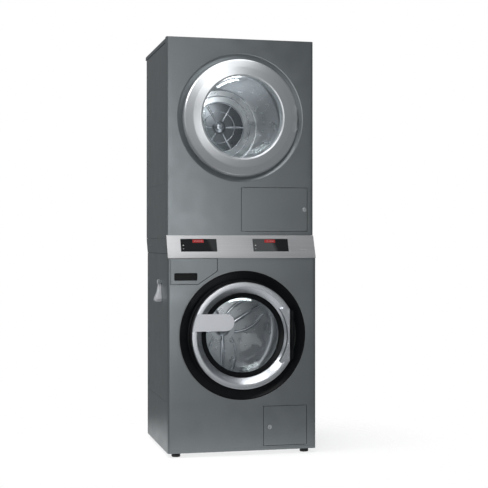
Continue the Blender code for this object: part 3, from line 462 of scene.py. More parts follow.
def make_moulded(name, colour, roughness, grain_scale=900.0, specular=0.5):
    """Moulded plastic or rubber with a spark-eroded grain and faint flow marks."""
    look = Look(name, colour, roughness, 0.0, Specular_IOR_Level=specular)
    look.paint(look.noise(9.0, (1, 1, 0.4)), tone(colour, 0.85), tone(colour, 1.2))
    grain = look.noise(grain_scale, detail=3.0)
    look.rough(grain, roughness * 0.85, roughness * 1.15)
    look.bump(grain, 0.2, 0.0003)
    return look.material


def make_galvanised():
    look = Look("galvanised", (0.47, 0.49, 0.50), 0.45, 0.85)
    cells = look.node("TexVoronoi", {"Vector": look.place, "Scale": 55.0})
    spangle = look.node("SeparateColor", {"Color": cells.outputs["Color"]}).outputs[0]
    look.paint(spangle, (0.40, 0.42, 0.44), (0.56, 0.58, 0.59), 0.1, 0.9)
    look.drive("Roughness", look.between(spangle, 0.34, 0.56))
    look.bump(look.noise(220.0), 0.05, 0.0003)
    return look.material


def make_cast(name, colour, roughness, metallic):
    look = Look(name, colour, roughness, metallic)
    look.paint(look.noise(18.0, detail=5.0), tone(colour, 0.75), tone(colour, 1.3))
    look.rough(look.noise(60.0), roughness * 0.85, roughness * 1.15)
    look.bump(look.noise(420.0, detail=4.0), 0.35, 0.0008)
    return look.material


def make_glass(name, tint):
    """Clear moulded glass: what is behind shows through, and its surface mirrors the studio at its edges."""
    look = Look(name, tint, 0.02)
    clear = look.node("BsdfTransparent", {"Color": (*tint, 1)})
    mirror = look.node("BsdfGlossy", {"Color": (0.95, 1.0, 1.0, 1), "Roughness": 0.03})
    look.tree.links.new(look.between(look.noise(3.0), 0.02, 0.05, 0.3, 0.7), mirror.inputs["Roughness"])
    facing = look.node("LayerWeight", {"Blend": 0.5}).outputs["Facing"]
    edge = look.between(look.math("POWER", facing, 3.5), 0.02, 0.60)
    look.mixed(edge, clear, mirror)
    return look.material


def make_drum_wall(name, z, around, pitch, colour):
    """Rolled stainless sheet with staggered round holes."""
    look = Look(name, colour, 0.30, 0.85)
    angle, _, along = look.polar(z)
    hole = look.holes(look.math("MULTIPLY", angle, float(around)), look.math("DIVIDE", along, pitch), 0.20)
    look.drive("Base Color", look.ramp(hole, [(0.2, colour), (0.8, tone(colour, 0.35))]))
    look.rough(look.noise(30.0, (1, 6, 1)), 0.26, 0.36)
    look.bump(hole, 0.15, -0.0005)
    return look.material


def make_drum_back(name, z, around, pitch, colour, reach):
    """Pressed stainless sheet with rings of holes between two radii."""
    look = Look(name, colour, 0.28, 0.85)
    angle, radius, _ = look.polar(z)
    hole = look.holes(look.math("MULTIPLY", angle, float(around)), look.math("DIVIDE", radius, pitch), 0.24)
    inside = look.math("GREATER_THAN", radius, reach[0])
    inside = look.math("MULTIPLY", inside, look.math("LESS_THAN", radius, reach[1]))
    hole = look.math("MULTIPLY", hole, inside)
    look.drive("Base Color", look.ramp(hole, [(0.2, colour), (0.8, tone(colour, 0.35))]))
    look.rough(look.noise(40.0), 0.26, 0.34)
    look.bump(hole, 0.15, -0.0005)
    return look.material


def make_display():
    """A dark window under gloss, with a painted reflection: a paler slanting sheen painted into its base
    colour to one side.
    """
    look = Look("display_window", (0.02, 0.021, 0.022), 0.10, 0.0, Specular_IOR_Level=0.3)
    x, _, z = look.node("SeparateXYZ", {"Vector": look.place}).outputs
    # painted reflection: a slanting band across each window where the base colour is made paler
    slant = look.math("ADD", x, look.math("MULTIPLY", z, 0.35))
    left_painted_sheen = look.between(slant, 0.0, 1.0, SHIFT.x + 0.180, SHIFT.x + 0.196)
    right_window = look.math("GREATER_THAN", x, SHIFT.x)
    right_painted_sheen = look.between(slant, 1.0, 0.0, SHIFT.x + 0.478, SHIFT.x + 0.500)
    strong_painted_sheen = look.math("MULTIPLY", right_window, right_painted_sheen)
    faint_painted_sheen = look.math("MULTIPLY", look.math("SUBTRACT", 1.0, right_window), left_painted_sheen)
    painted_sheen = look.math("ADD", strong_painted_sheen, look.math("MULTIPLY", faint_painted_sheen, 0.4))
    # painted sheen: the base colour is lighter where the slanting reflection falls, strongest on the right
    # window
    look.drive("Base Color", look.ramp(painted_sheen, [(0.0, (0.018, 0.019, 0.020)), (1.0, (0.105, 0.110, 0.112))]))
    look.rough(look.noise(80.0), 0.08, 0.13)
    look.bump(look.noise(25.0, detail=1.0), 0.02, 0.0005)
    return look.material


def make_floor():
    """Pale matt floor that is faint under the object and fades into the background around it."""
    look = Look("studio_floor", (0.93, 0.93, 0.93), 0.7, Emission_Color=(1, 1, 1, 1), Emission_Strength=0.5)
    look.paint(look.noise(2.0), (0.925, 0.925, 0.925), (0.935, 0.935, 0.935))
    x, y, _ = look.node("SeparateXYZ", {"Vector": look.place}).outputs
    squares = look.math("ADD", look.math("MULTIPLY", x, x), look.math("MULTIPLY", y, y))
    solid = look.between(look.math("SQRT", squares), 0.6, 0.0, 0.45, 1.1)
    look.mixed(solid, look.node("BsdfTransparent", {"Color": (1, 1, 1, 1)}), look.shader)
    return look.material


def make_looks():
    steel = (0.58, 0.595, 0.615)
    return {
        "paint": make_paint(),
        "stainless": make_brushed("brushed_stainless", (0.72, 0.72, 0.73), (0.05, 8, 8)),
        "ring": make_satin("satin_ring", (0.83, 0.85, 0.87), 0.36, 0.92),
        "bright_ring": make_satin("bright_ring", (0.66, 0.68, 0.71), 0.27, 1.0),
        "handle": make_satin("satin_handle", (0.86, 0.87, 0.91), 0.40, 0.75),
        "lever": make_satin("satin_lever", (0.74, 0.75, 0.77), 0.42, 0.35),
        "black": make_moulded("black_plastic", (0.007, 0.008, 0.009), 0.24, specular=0.14),
        "display": make_display(),
        "red": make_moulded("red_print", (0.55, 0.03, 0.03), 0.35),
        "white": make_moulded("white_print", (0.75, 0.76, 0.76), 0.5),
        "glass": make_glass("clear_glass", (0.95, 0.965, 0.97)),
        "washer_wall": make_drum_wall("washer_drum_wall", WASHER_Z, 200, 0.0075, steel),
        "dryer_wall": make_drum_wall("dryer_drum_wall", DRYER_Z, 90, 0.018, steel),
        "washer_back": make_drum_back("washer_drum_back", WASHER_Z, 110, 0.0085, steel, (0.06, 0.24)),
        "dryer_back": make_drum_back(
            "dryer_drum_back", DRYER_Z, 44, 0.0080, (0.20, 0.215, 0.23), (0.036, 0.122)
        ),
        "rubber": make_moulded("rubber", (0.02, 0.02, 0.021), 0.62, 400.0),
        "galvanised": make_galvanised(),
        "cast": make_cast("cast_iron", (0.09, 0.09, 0.10), 0.6, 0.6),
        "enamel": make_cast("motor_enamel", (0.05, 0.06, 0.07), 0.4, 0.2),
        "pale": make_moulded("pale_plastic", (0.55, 0.56, 0.55), 0.42),
        "brass": make_satin("brass", (0.60, 0.44, 0.18), 0.3, 1.0),
        "trim": make_satin("surround_trim", (0.30, 0.31, 0.32), 0.30, 0.8),
        "polished": make_satin("polished_steel", (0.62, 0.64, 0.67), 0.2, 1.0),
        "dryer_ring_back": make_drum_back(
            "dryer_drum_annulus", DRYER_Z, 60, 0.02, (0.70, 0.72, 0.74), (0.5, 0.6)
        ),
    }


# ---------------------------------------------------------------- cabinets


def front_outline(front, depth, inset, steps=10):
    """A front panel seen from above: two rounded front corners, open at the back."""
    half = HALF - inset
    radius = CORNER - inset
    left = arc((-HALF + CORNER, front + CORNER), radius, 180, 270, steps)
    right = arc((HALF - CORNER, front + CORNER), radius, 270, 360, steps)
    return [(-half, front + depth)] + left + right + [(half, front + depth)]


def opening(flap, front, edge=0.002):
    left, right, low, high = flap
    return slab((left - edge, front - 0.02, low - edge), (right + edge, front + 0.02, high + edge), 0.003)


def drawer_outline(edge, top):
    """The drawer's front with its lower right corner cut off, grown by edge."""
    return [
        (-0.3330 - edge, 0.7810 - edge),
        (-0.2085 + edge * 0.4, 0.7810 - edge),
        (-0.1200 + edge, 0.8410 - edge * 0.4),
        (-0.1200 + edge, top),
        (-0.3330 - edge, top),
    ]


def screw(place, radius, axis="Y", way=-1):
    """A pan-head screw, standing proud along the axis."""
    head = [(0, 0.0008), (radius, 0.0008), (radius, -0.0006), (radius * 0.75, -0.0016), (0, -0.0018)]
    if way > 0:
        head = [(r, -a) for r, a in head]
    bm = lathe(soften(head, [0, 0, radius * 0.2, radius * 0.2, 0], 3), segments=24, axis=axis)
    return moved(bm, place)


def flap_pins(flap, front, hinge_side):
    left, right, low, high = flap
    x = right - 0.005 if hinge_side > 0 else left + 0.005
    parts = []
    for end, way in ((high, 1), (low, -1)):
        ends = sorted((end + way * 0.0007, end + way * 0.0045))
        sides = sorted((x + hinge_side * 0.016, x - hinge_side * 0.004))
        parts.append(block((sides[0], front + SHEET * 0.6, ends[0]), (sides[1], front + 0.0095, ends[1])))
        pin = sorted((end - way * 0.0035, end + way * 0.004))
        parts.append(
            lathe(
                [(0, pin[0]), (0.0018, pin[0]), (0.0018, pin[1]), (0, pin[1])], (x, front + 0.0055, 0), 20,
                "Z"
            )
        )
    return parts


def washer_front(looks):
    sheet = prism(front_outline(0, 0.030, 0), "Z", 0.020, FASCIA_LOW - 0.0004)
    tools = [
        prism(front_outline(0, 0.040, SHEET), "Z", 0.010, FASCIA_LOW + 0.01),
        rod(0.291, -0.02, 0.02, (0, 0, WASHER_Z)),
        prism(drawer_outline(0.002, FASCIA_LOW + 0.02), "Y", -0.02, 0.02),
        opening(SERVICE_FLAP, 0),
        block((-0.4, -0.01, 0.0325), (0.4, 0.0011, 0.0345)),
        block((-0.4, -0.01, 0.8890), (0.4, 0.0011, 0.8905)),
    ]
    panel = merged([carved(sheet, tools)] + flap_pins(SERVICE_FLAP, 0, 1))
    painted(looks, "washer_front_sheet", panel, ["washer_front_panel"])


def dryer_front(looks):
    front = DRYER_FRONT
    sheet = prism(front_outline(front, 0.030, 0), "Z", FASCIA_HIGH + 0.0004, STACK_TOP)
    lip = 0.2960
    tools = [
        prism(front_outline(front, 0.040, SHEET), "Z", FASCIA_HIGH - 0.01, STACK_TOP - SHEET),
        rod(lip, -0.01, 0.02, (0, front, DRYER_Z)),
        opening(FILTER_FLAP, front),
    ]
    shown = [(0.2000, 0.0540), (0.2000, 0.0100), (0.2720, 0.0100), (0.2925, 0.0006), (lip, 0)]
    hidden = [(lip, SHEET), (0.2940, 0.0030), (0.2728, 0.0120), (0.2020, 0.0120), (0.2020, 0.0540)]
    reach = [0, 0.002, 0.003, 0.003, 0, 0, 0, 0, 0, 0]
    dish = lathe(soften(shown + hidden, reach, 5), (0, front, DRYER_Z))
    x, y = DRYER_HINGE
    pin = []
    for radius, half in ((0.0044, 0.0280), (0.0024, 0.0440)):
        pin.append(rod(radius, -half, half, (x, y, DRYER_Z), 24, "Z"))
    post = slab((x - 0.0028, y, DRYER_Z - 0.027), (x + 0.0028, front + 0.0110, DRYER_Z + 0.027), 0.001, "Z")
    panel = merged([carved(sheet, tools), dish, post] + pin + flap_pins(FILTER_FLAP, front, -1))
    painted(looks, "dryer_front_sheet", panel, ["dryer_front_panel"])


def side_sheet(side, front, rear, low, high, joins, fasteners):
    """A side panel folded in at the back, with fine joints and pressed hook slots near its rear edge."""
    outline = [
        (-HALF, front),
        (-HALF, rear),
        (-HALF + 0.016, rear),
        (-HALF + 0.016, rear - SHEET),
        (-HALF + SHEET, rear - SHEET),
        (-HALF + SHEET, front),
    ]
    radii = [0, 0.0025, 0, 0, 0, 0]
    body = prism(soften([(side * -x, y) for x, y in outline], radii), "Z", low, high)
    outside = side * HALF
    tools = []
    for z in joins:
        xs = sorted((outside, side * (HALF - 0.0009)))
        tools.append(
            block(
                (xs[0] - 0.001 * (side < 0), front - 0.01, z),
                (xs[1] + 0.001 * (side > 0), rear + 0.01, z + 0.0016)
            )
        )
    parts = [carved(body, tools)] if tools else [body]
    for z in fasteners:
        parts += hook_slot(side, rear - 0.040, z)
    return merged(parts)


def hook_slot(side, y, z):
    """A pressed slot 80 mm tall with a raised lip and a screw above and below."""
    outside = side * HALF
    xs = sorted((outside - side * 0.0006, outside + side * 0.0022))
    parts = [slab((xs[0], y - 0.0025, z - 0.034), (xs[1], y + 0.0025, z + 0.034), 0.0023, "X")]
    for offset in (-0.044, 0.044):
        parts.append(screw((outside, y, z + offset), 0.0045, "X", side))
    return parts


def side_panels(looks):
    lever = []
    for offset in (-0.0165, 0.0135):
        low = (-0.3630, 0.190 + offset, 0.780)
        lever.append(slab(low, (-HALF + 0.001, 0.193 + offset, 0.796), 0.002, "Y"))
    lever.append(rod(0.003, 0.1745, 0.2055, (-0.356, 0, 0.788), 24))
    for side, word in ((-1, "left"), (1, "right")):
        sheet = side_sheet(side, 0.0305, 0.600, 0.020, 0.918, (0.246,), (0.770, 0.535, 0.300))
        if side < 0:
            sheet = merged([sheet] + lever)
        painted(looks, "washer_side_sheet_" + word, sheet, ["washer_side_" + word])
        top = STACK_TOP - 0.027
        sheet = side_sheet(side, 0.0735, 0.635, 0.9887, top, (1.236,), (1.640, 1.405, 1.165))
        painted(looks, "dryer_side_sheet_" + word, sheet, ["dryer_side_" + word])


def lid(looks):
    low = STACK_TOP - 0.022
    front = DRYER_FRONT + 0.0305
    outline = [(-HALF, low), (-HALF, STACK_TOP), (HALF, STACK_TOP), (HALF, low)]
    cap = prism(soften(outline, [0, 0.012, 0.012, 0], 8), "Y", front, 0.665)
    half = HALF - 0.005
    skirt = block((-half, front + 0.003, low - 0.012), (half, 0.631, low + 0.002))
    hollow = block((-half + 0.003, front + 0.006, low - 0.02), (half - 0.003, 0.628, STACK_TOP - 0.003))
    body = carved(cap, [skirt], "UNION")
    painted(looks, "dryer_lid_cap", carved(body, [hollow]), ["dryer_lid"], 0.0015)


def joint_seals(looks):
    """Rubber strips inside the joints above and below the stacking frame."""
    parts = []
    for side in (-1, 1):
        for front, rear, low, high in ((0.0420, 0.5900, 0.9120, 0.9250), (0.0745, 0.6250, 0.9876, 0.9950)):
            xs = sorted((side * (HALF - 0.0062), side * (HALF - 0.0034)))
            parts.append(slab((xs[0], front, low), (xs[1], rear, high), 0.0008, "X"))
    piece("joint_seals", merged(parts), looks["rubber"], "cabinet")


def fascia_closers(looks):
    """Small plates that close the side notches behind the fascia's ends."""
    lower = [(0.0112, 0.8990), (0.0303, 0.8990), (0.0303, 0.9188), (0.0125, 0.9188)]
    upper = [
        (0.0425, 0.9878), (0.0732, 0.9878), (0.0732, 1.0026), (0.0532, 1.0026), (0.0532, 1.0002),
        (0.0470, 1.0002)
    ]
    parts = []
    for side in (-1, 1):
        xs = sorted((side * (HALF - 0.0022), side * (HALF - 0.0003)))
        parts += [prism(lower, "X", xs[0], xs[1]), prism(upper, "X", xs[0], xs[1])]
    painted(looks, "fascia_closers", merged(parts))


def stacking_frame(looks):
    low, high = 0.9192, 0.9875
    slope = DRYER_FRONT / (FASCIA_HIGH - FASCIA_LOW)
    front = [(z - FASCIA_LOW) * slope + 0.0045 for z in (low, high)]
    deck = prism([(front[0], low), (front[1], high), (0.635, high), (0.600, low)], "X", -HALF, HALF)
    wall = 0.003
    inner = [
        (front[0] + wall, low - 0.01), (front[1] + wall, high - wall), (0.629, high - wall),
        (0.590, low - 0.01)
    ]
    tools = [prism(inner, "X", -HALF + wall, HALF - wall)]
    for x in DISPLAY_XS:
        tools.append(block((x - 0.087, 0, 0.925), (x + 0.087, 0.05, 0.9815)))
    parts = [carved(deck, tools)]
    for side in (-1, 1):
        for y in (0.110, 0.520):
            parts.append(screw((side * HALF, y, 0.952), 0.005, "X", side))
    painted(looks, "stacking_deck", merged(parts), ["stacking_frame"], 0.0008)


def on_fascia(bm, x):
    """Leans bm, made round the origin in the XZ plane, back with the fascia at the displays' height."""
    return moved(turned(bm, -math.degrees(TILT), "X"), DISPLAY_MID + Vector((x, 0, 0)))


def fascia(looks):
    across = SHEET / math.cos(TILT)
    back = DRYER_FRONT + 0.010
    outline = [
        (0, FASCIA_LOW),
        (DRYER_FRONT, FASCIA_HIGH),
        (back, FASCIA_HIGH),
        (back, FASCIA_HIGH - SHEET),
        (DRYER_FRONT + across * 0.6, FASCIA_HIGH - SHEET),
        (across * 1.4, FASCIA_LOW + SHEET),
        (0.010, FASCIA_LOW + SHEET),
        (0.010, FASCIA_LOW),
    ]
    strip = prism(soften(outline, [0.0015, 0.0015, 0, 0, 0, 0, 0, 0]), "X", -HALF, HALF)
    half, tall = 0.1665 / 2, 0.0617 / 2
    tools = []
    for x in DISPLAY_XS:
        edge = 0.0005
        tools.append(
            on_fascia(slab((-half - edge, -0.02, -tall - edge), (half + edge, 0.012, tall + edge), 0.002), x)
        )
    piece(
        "fascia_strip", carved(strip, tools), looks["stainless"], "cabinet", ["control_fascia"]
    )
    for word, x in zip(("left", "right"), DISPLAY_XS):
        window = on_fascia(slab((-half, -0.0004, -tall), (half, 0.0034, tall), 0.0018), x)
        piece(
            "display_window_" + word, window, looks["display"], "cabinet", ["display_" + word],
            0.0003
        )
    add_display_marks(looks)


def mark(x, low, high):
    """A thin printed patch on the fascia; low and high are (across, up) from a display's middle."""
    return on_fascia(slab((low[0], -0.0006, low[1]), (high[0], -0.0002, high[1]), 0.0008), x)


def add_display_marks(looks):
    """Generic prints: red headers with light strokes, and a plain mark on the fascia."""
    red, pale = [], []
    for x in DISPLAY_XS:
        red.append(mark(x, (-0.028, 0.0125), (0.023, 0.0275)))
        for i in range(6):
            left = -0.0195 + 0.0062 * i
            pale.append(mark(x, (left, 0.0185), (left + 0.0040, 0.0220)))
        pale.append(mark(x, (-0.0745, -0.0030), (-0.0690, 0.0015)))
        pale.append(mark(x, (-0.0745, -0.0185), (-0.0700, -0.0165)))
    for part, side in ((pale, 0.284), (pale, 0.306)):
        part.append(moved(mark(side, (-0.0055, -0.026), (0.0055, -0.021)), (0, 0.0001, 0)))
    piece("display_headers", merged(red), looks["red"], "cabinet")
    piece("display_strokes", merged(pale), looks["white"], "cabinet")


def feet(looks):
    profile = [
        (0, 0), (0.018, 0), (0.020, 0.002), (0.020, 0.011), (0.012, 0.016), (0.006, 0.016), (0.006, 0.042),
        (0, 0.042)
    ]
    radii = [0, 0.0015, 0.0015, 0.0015, 0.001, 0, 0, 0]
    for word, x, y in (
        ("front_left", -1, 0.045), ("front_right", 1, 0.045), ("rear_left", -1, 0.560),
        ("rear_right", 1, 0.560)
    ):
        foot = lathe(soften(profile, radii), (x * 0.302, y, 0), 48, "Z")
        piece("levelling_foot_" + word, foot, looks["rubber"], "cabinet", ["foot_" + word])


# ---------------------------------------------------------------- flaps, drawer and lever


def flap_door(looks, name, flap, front, lock, bodies, hinge_side):
    left, right, low, high = flap
    tray = slab((left, front, low), (right, front + 0.012, high), 0.0022)
    inner = block((left + SHEET, front + SHEET, low + SHEET), (right - SHEET, front + 0.02, high - SHEET))
    x, z = lock
    bore = rod(0.0085, -0.02, 0.02, (x, front, z), 48)
    axis = right - 0.005 if hinge_side > 0 else left + 0.005
    pin = rod(0.0024, low - 0.01, high + 0.01, (axis, front + 0.0055, 0), 24, "Z")
    piece(
        name + "_sheet", carved(tray, [inner, bore, pin]), looks["paint"], bodies[0],
        [name], 0.0006
    )
    head = [
        (0, -0.0025), (0.0090, -0.0025), (0.0105, -0.0012), (0.0105, -0.0004), (0.0078, -0.0004),
        (0.0078, 0.0158), (0, 0.0158)
    ]
    key = lathe(soften(head, [0, 0.001, 0.0005, 0, 0, 0, 0]), (x, front, z), 48)
    slot = slab((x - 0.0012, front - 0.01, z - 0.006), (x + 0.0012, front - 0.0008, z + 0.006), 0.001)
    tongue = slab((x - 0.006, front + 0.0127, z - 0.004), (x + 0.006, front + 0.0152, z + 0.036), 0.004)
    lock_piece = merged([carved(key, [slot]), tongue])
    piece(name + "_key", lock_piece, looks["galvanised"], bodies[1], [name + "_lock"])


def drawer(looks):
    outline = soften(drawer_outline(0, 0.8970), [0.003, 0.004, 0.004, 0.001, 0.001])
    face = prism(outline, "Y", 0, 0.018)
    grip = slab((-0.317, -0.02, 0.798), (-0.212, 0.014, 0.832), 0.005)
    piece(
        "drawer_face", carved(face, [grip]), looks["paint"], "detergent_drawer",
        ["dispenser_front"], 0.0006
    )
    plate = slab((-0.3165, 0.0125, 0.7985), (-0.2125, 0.0142, 0.8315), 0.0045)
    piece("drawer_grip_plate", plate, looks["black"], "detergent_drawer")


def lever(looks):
    rings = [
        (0.7970, 0.0060, 0.0150), (0.7960, 0.0110, 0.0178), (0.7880, 0.0120, 0.0190),
        (0.7790, 0.0120, 0.0185)
    ]
    rings += [
        (0.7740, 0.0105, 0.0150), (0.742, 0.0160, 0.0200), (0.712, 0.0250, 0.0320), (0.704, 0.0240, 0.0335)
    ]
    rings += [(0.698, 0.0190, 0.0310), (0.6955, 0.0120, 0.0240)]
    rows = []
    for z, half, reach in rings:
        outside = -HALF - reach
        above = max(z - LEVER_PIVOT[1], 0)
        wall = LEVER_PIVOT[0] + math.sqrt(LEVER_BACK**2 - above**2)
        corners = [
            (wall, 0.190 - half), (outside, 0.190 - half), (outside, 0.190 + half), (wall, 0.190 + half)
        ]
        soft = min(half, reach) * 0.55
        outline = soften(corners, [0, soft, soft, 0], 6)
        rows.append([(x, y, z) for x, y in outline])
    groove = slab((-0.40, 0.1885, 0.706), (-0.3640, 0.1915, 0.764), 0.001, "X")
    bore = rod(0.0036, 0.15, 0.23, (-0.356, 0, 0.788), 32)
    piece(
        "side_pull_lever", carved(skinned(rows), [bore, groove]), looks["lever"], "side_pull",
        ["side_lever"]
    )


# ---------------------------------------------------------------- washer door


def surround(looks):
    profile = [
        (0.2970, -0.0005), (0.2970, -0.0030), (0.2905, -0.0030), (0.2540, 0.0200), (0.1965, 0.0200),
        (0.1965, 0.0450)
    ]
    profile += [(0.1995, 0.0450), (0.1995, 0.0230), (0.2560, 0.0230), (0.2895, 0.0015), (0.2895, -0.0005)]
    radii = [0, 0.0015, 0.003, 0.012, 0.002, 0.001, 0, 0, 0, 0, 0]
    dish = lathe(soften(profile, radii, 6), (0, 0, WASHER_Z))
    slot = slab((-0.237, 0.015, WASHER_Z - 0.012), (-0.211, 0.03, WASHER_Z + 0.012), 0.002)
    piece(
        "surround_dish", carved(dish, [slot]), looks["black"], "cabinet", ["door_surround"]
    )
    trim = [(0.2972, -0.0026), (0.2966, -0.0034), (0.2948, -0.0034), (0.2942, -0.0026)]
    piece(
        "surround_trim", lathe(soften(trim, 0.0003, 2), (0, 0, WASHER_Z)), looks["trim"], "cabinet",
    )


def hinge_bracket(looks):
    z = WASHER_Z
    parts = [
        slab((0.2155, 0.0137, z - 0.090), (0.2335, 0.0196, z + 0.090), 0.002, "X"),
        slab((0.2215, -0.020, z - 0.070), (0.2305, 0.0150, z + 0.070), 0.001, "X"),
        lathe(
            soften([(0, -0.0702), (0.0080, -0.0702), (0.0080, 0.0702), (0, 0.0702)], [0, 0.001, 0.001, 0]),
            (*WASHER_HINGE, z), 48, "Z"
        ),
        lathe(
            soften([(0, -0.1130), (0.0045, -0.1130), (0.0045, 0.1130), (0, 0.1130)], [0, 0.001, 0.001, 0]),
            (*WASHER_HINGE, z), 32, "Z"
        ),
    ]
    piece(
        "hinge_bracket", merged(parts), looks["black"], "cabinet", ["washer_hinge_bracket"]
    )


def door_ring(looks):
    z = WASHER_Z
    face = -0.033
    profile = [(0.2430, 0.0100), (0.2430, face), (0.2205, face), (0.1933, -0.0040), (0.1933, 0.0100)]
    profile += [
        (0.1990, 0.0100), (0.1990, 0.0015), (0.2215, face + 0.006), (0.2380, face + 0.006), (0.2380, 0.0100)
    ]
    radii = [0, 0.0045, 0.0035, 0.002, 0, 0, 0, 0, 0, 0]
    ring = lathe(soften(profile, radii, 6), (0, 0, z))
    reach = math.degrees(math.asin(0.120 / 0.203))
    outline = [(0.230, -0.120), (0.230, 0.120)] + arc((0, 0), 0.203, reach, -reach, 40)
    plate = moved(prism(outline, "Y", face - 0.0006, 0.0094), (0, 0, z))
    lug = block((-0.2195, -0.0425, 0.5955), (-0.2105, -0.024, 0.6235))
    catch = slab((-0.230, face + 0.003, z - 0.006), (-0.218, 0.0360, z + 0.006), 0.002, "X")
    ring = carved(ring, [plate, lug], "UNION")
    ring = carved(ring, [block((0.212, -0.1, z - 0.2), (0.3, 0.1, z + 0.2))])
    pin = rod(0.0024, -0.0265, 0.0265, (-0.215, -0.0395, HANDLE_Z), 24, "Z")
    parts = [ring, catch, pin]
    for offset in (-0.104, -0.040, 0.040, 0.104):
        parts.append(screw((0.2065, face - 0.0004, z + offset), 0.0036))
    piece(
        "door_ring", merged(parts), looks["bright_ring"], "washer_door", ["washer_door_ring"]
    )


def door_leaf(looks):
    z = WASHER_Z
    parts = [slab((0.2124, -0.0290, z - 0.110), (0.2146, 0.0060, z + 0.110), 0.002, "X")]
    for low in (-0.1080, 0.0710):
        high = low + 0.0370
        knuckle = [(0.0051, low), (0.0080, low), (0.0080, high), (0.0051, high)]
        parts.append(lathe(soften(knuckle, [0, 0.001, 0.001, 0]), (*WASHER_HINGE, z), 48, "Z"))
        parts.append(
            slab((0.2130, -0.0270, z + low + 0.0006), (0.2195, -0.0180, z + high - 0.0006), 0.001, "X")
        )
    piece("hinge_leaf", merged(parts), looks["black"], "washer_door", ["washer_door_leaf"])


def door_glass(looks):
    z = WASHER_Z
    clamp = [(0.1928, -0.0035), (0.1900, -0.0050), (0.1715, 0.0010), (0.1700, 0.0066), (0.1928, 0.0066)]
    ring = lathe(soften(clamp, [0, 0.001, 0.002, 0, 0]), (0, 0, z))
    piece("glass_clamp", ring, looks["black"], "washer_door", ["washer_door_clamp"])
    outside = [(0.1800, 0.0070), (0.1800, 0.0118), (0.1690, 0.0118), (0.1630, 0.0400), (0.1500, 0.0650)]
    outside += [(0.1250, 0.0860), (0.0850, 0.1000), (0.0420, 0.1070), (0, 0.1090)]
    inside = [(0, 0.1040), (0.0420, 0.1020), (0.0840, 0.0950), (0.1210, 0.0820), (0.1460, 0.0610)]
    inside += [(0.1585, 0.0380), (0.1640, 0.0070)]
    radii = [0.001, 0.001, 0.002, 0.02, 0.02, 0.02, 0.02, 0.02, 0, 0, 0.02, 0.02, 0.02, 0.02, 0.02, 0.001]
    bowl = lathe(soften(outside + inside, radii, 5), (0, 0, z))
    piece(
        "door_glass_bowl", bowl, looks["glass"], "washer_door", ["washer_door_glass"],
        sharp=50
    )


def door_handle(looks):
    half = 0.0385
    end_x = -0.052 - half
    z = HANDLE_Z
    outline = [(-0.260, half), (-0.260, -half)] + arc((end_x, 0), half, -90, 90, 32)
    plate = moved(prism(outline, "Y", -0.0520, -0.0440), (0, 0, z))
    disc = rod(0.2425, -0.1, 0.1, (0, 0, WASHER_Z))
    plate = carved(plate, [disc], "INTERSECT")
    parts = [plate]
    for way in (-1, 1):
        ends = sorted((z + way * 0.0150, z + way * 0.0262))
        knuckle = block((-0.2200, -0.0460, ends[0]), (-0.2100, -0.0348, ends[1]))
        bore = rod(0.0029, -0.032, 0.032, (-0.215, -0.0395, z), 32, "Z")
        parts.append(carved(knuckle, [bore]))
    piece(
        "door_handle_plate", merged(parts), looks["handle"], "washer_handle",
        ["washer_door_handle"], 0.0012
    )


# ---------------------------------------------------------------- drums


def rib(z, radius, height, front, rear, foot, tip, turn):
    """A lifter: a rib with a rounded crest and sloping ends, standing on the drum's wall."""
    base = math.sqrt(radius * radius - foot * foot)
    outline = soften(
        [(-foot, base), (-tip, radius - height), (tip, radius - height), (foot, base)],
        [0, 0.012, 0.012, 0], 6
    )
    rows = []
    steps = ((front, 0.04), (front + 0.006, 0.70), (front + 0.016, 0.95), (front + 0.035, 1.0))
    steps += ((rear - 0.035, 1.0), (rear - 0.016, 0.95), (rear - 0.006, 0.70), (rear, 0.04))
    for y, share in steps:
        rows.append([(x, y, base + (up - base) * share) for x, up in outline])
    return moved(turned(skinned(rows), turn), (0, 0, z))


def ridge(path, width, height, y):
    """A low pressed ridge along a path of (x, z) on a drum's back, proud towards the front."""
    rows = []
    count = len(path)
    for i, (x, z) in enumerate(path):
        ahead = Vector(path[min(i + 1, count - 1)]) - Vector(path[max(i - 1, 0)])
        side = Vector((-ahead.y, ahead.x)).normalized()
        taper = math.sin(math.pi * (0.12 + 0.76 * i / (count - 1))) ** 0.5
        row = []
        for step in range(9):
            t = step / 8 * 2 - 1
            point = Vector((x, z)) + side * (t * width * taper)
            row.append((point.x, y - height * taper * math.cos(t * math.pi / 2), point.y))
        rows.append(row)
    return skinned(rows)


def two_materials(obj, second, share=0.7):
    """Gives obj's faces that look along the drum's axis the second material."""
    obj.data.materials.append(second)
    for face in obj.data.polygons:
        if abs(face.normal.y) > share:
            face.material_index = 1


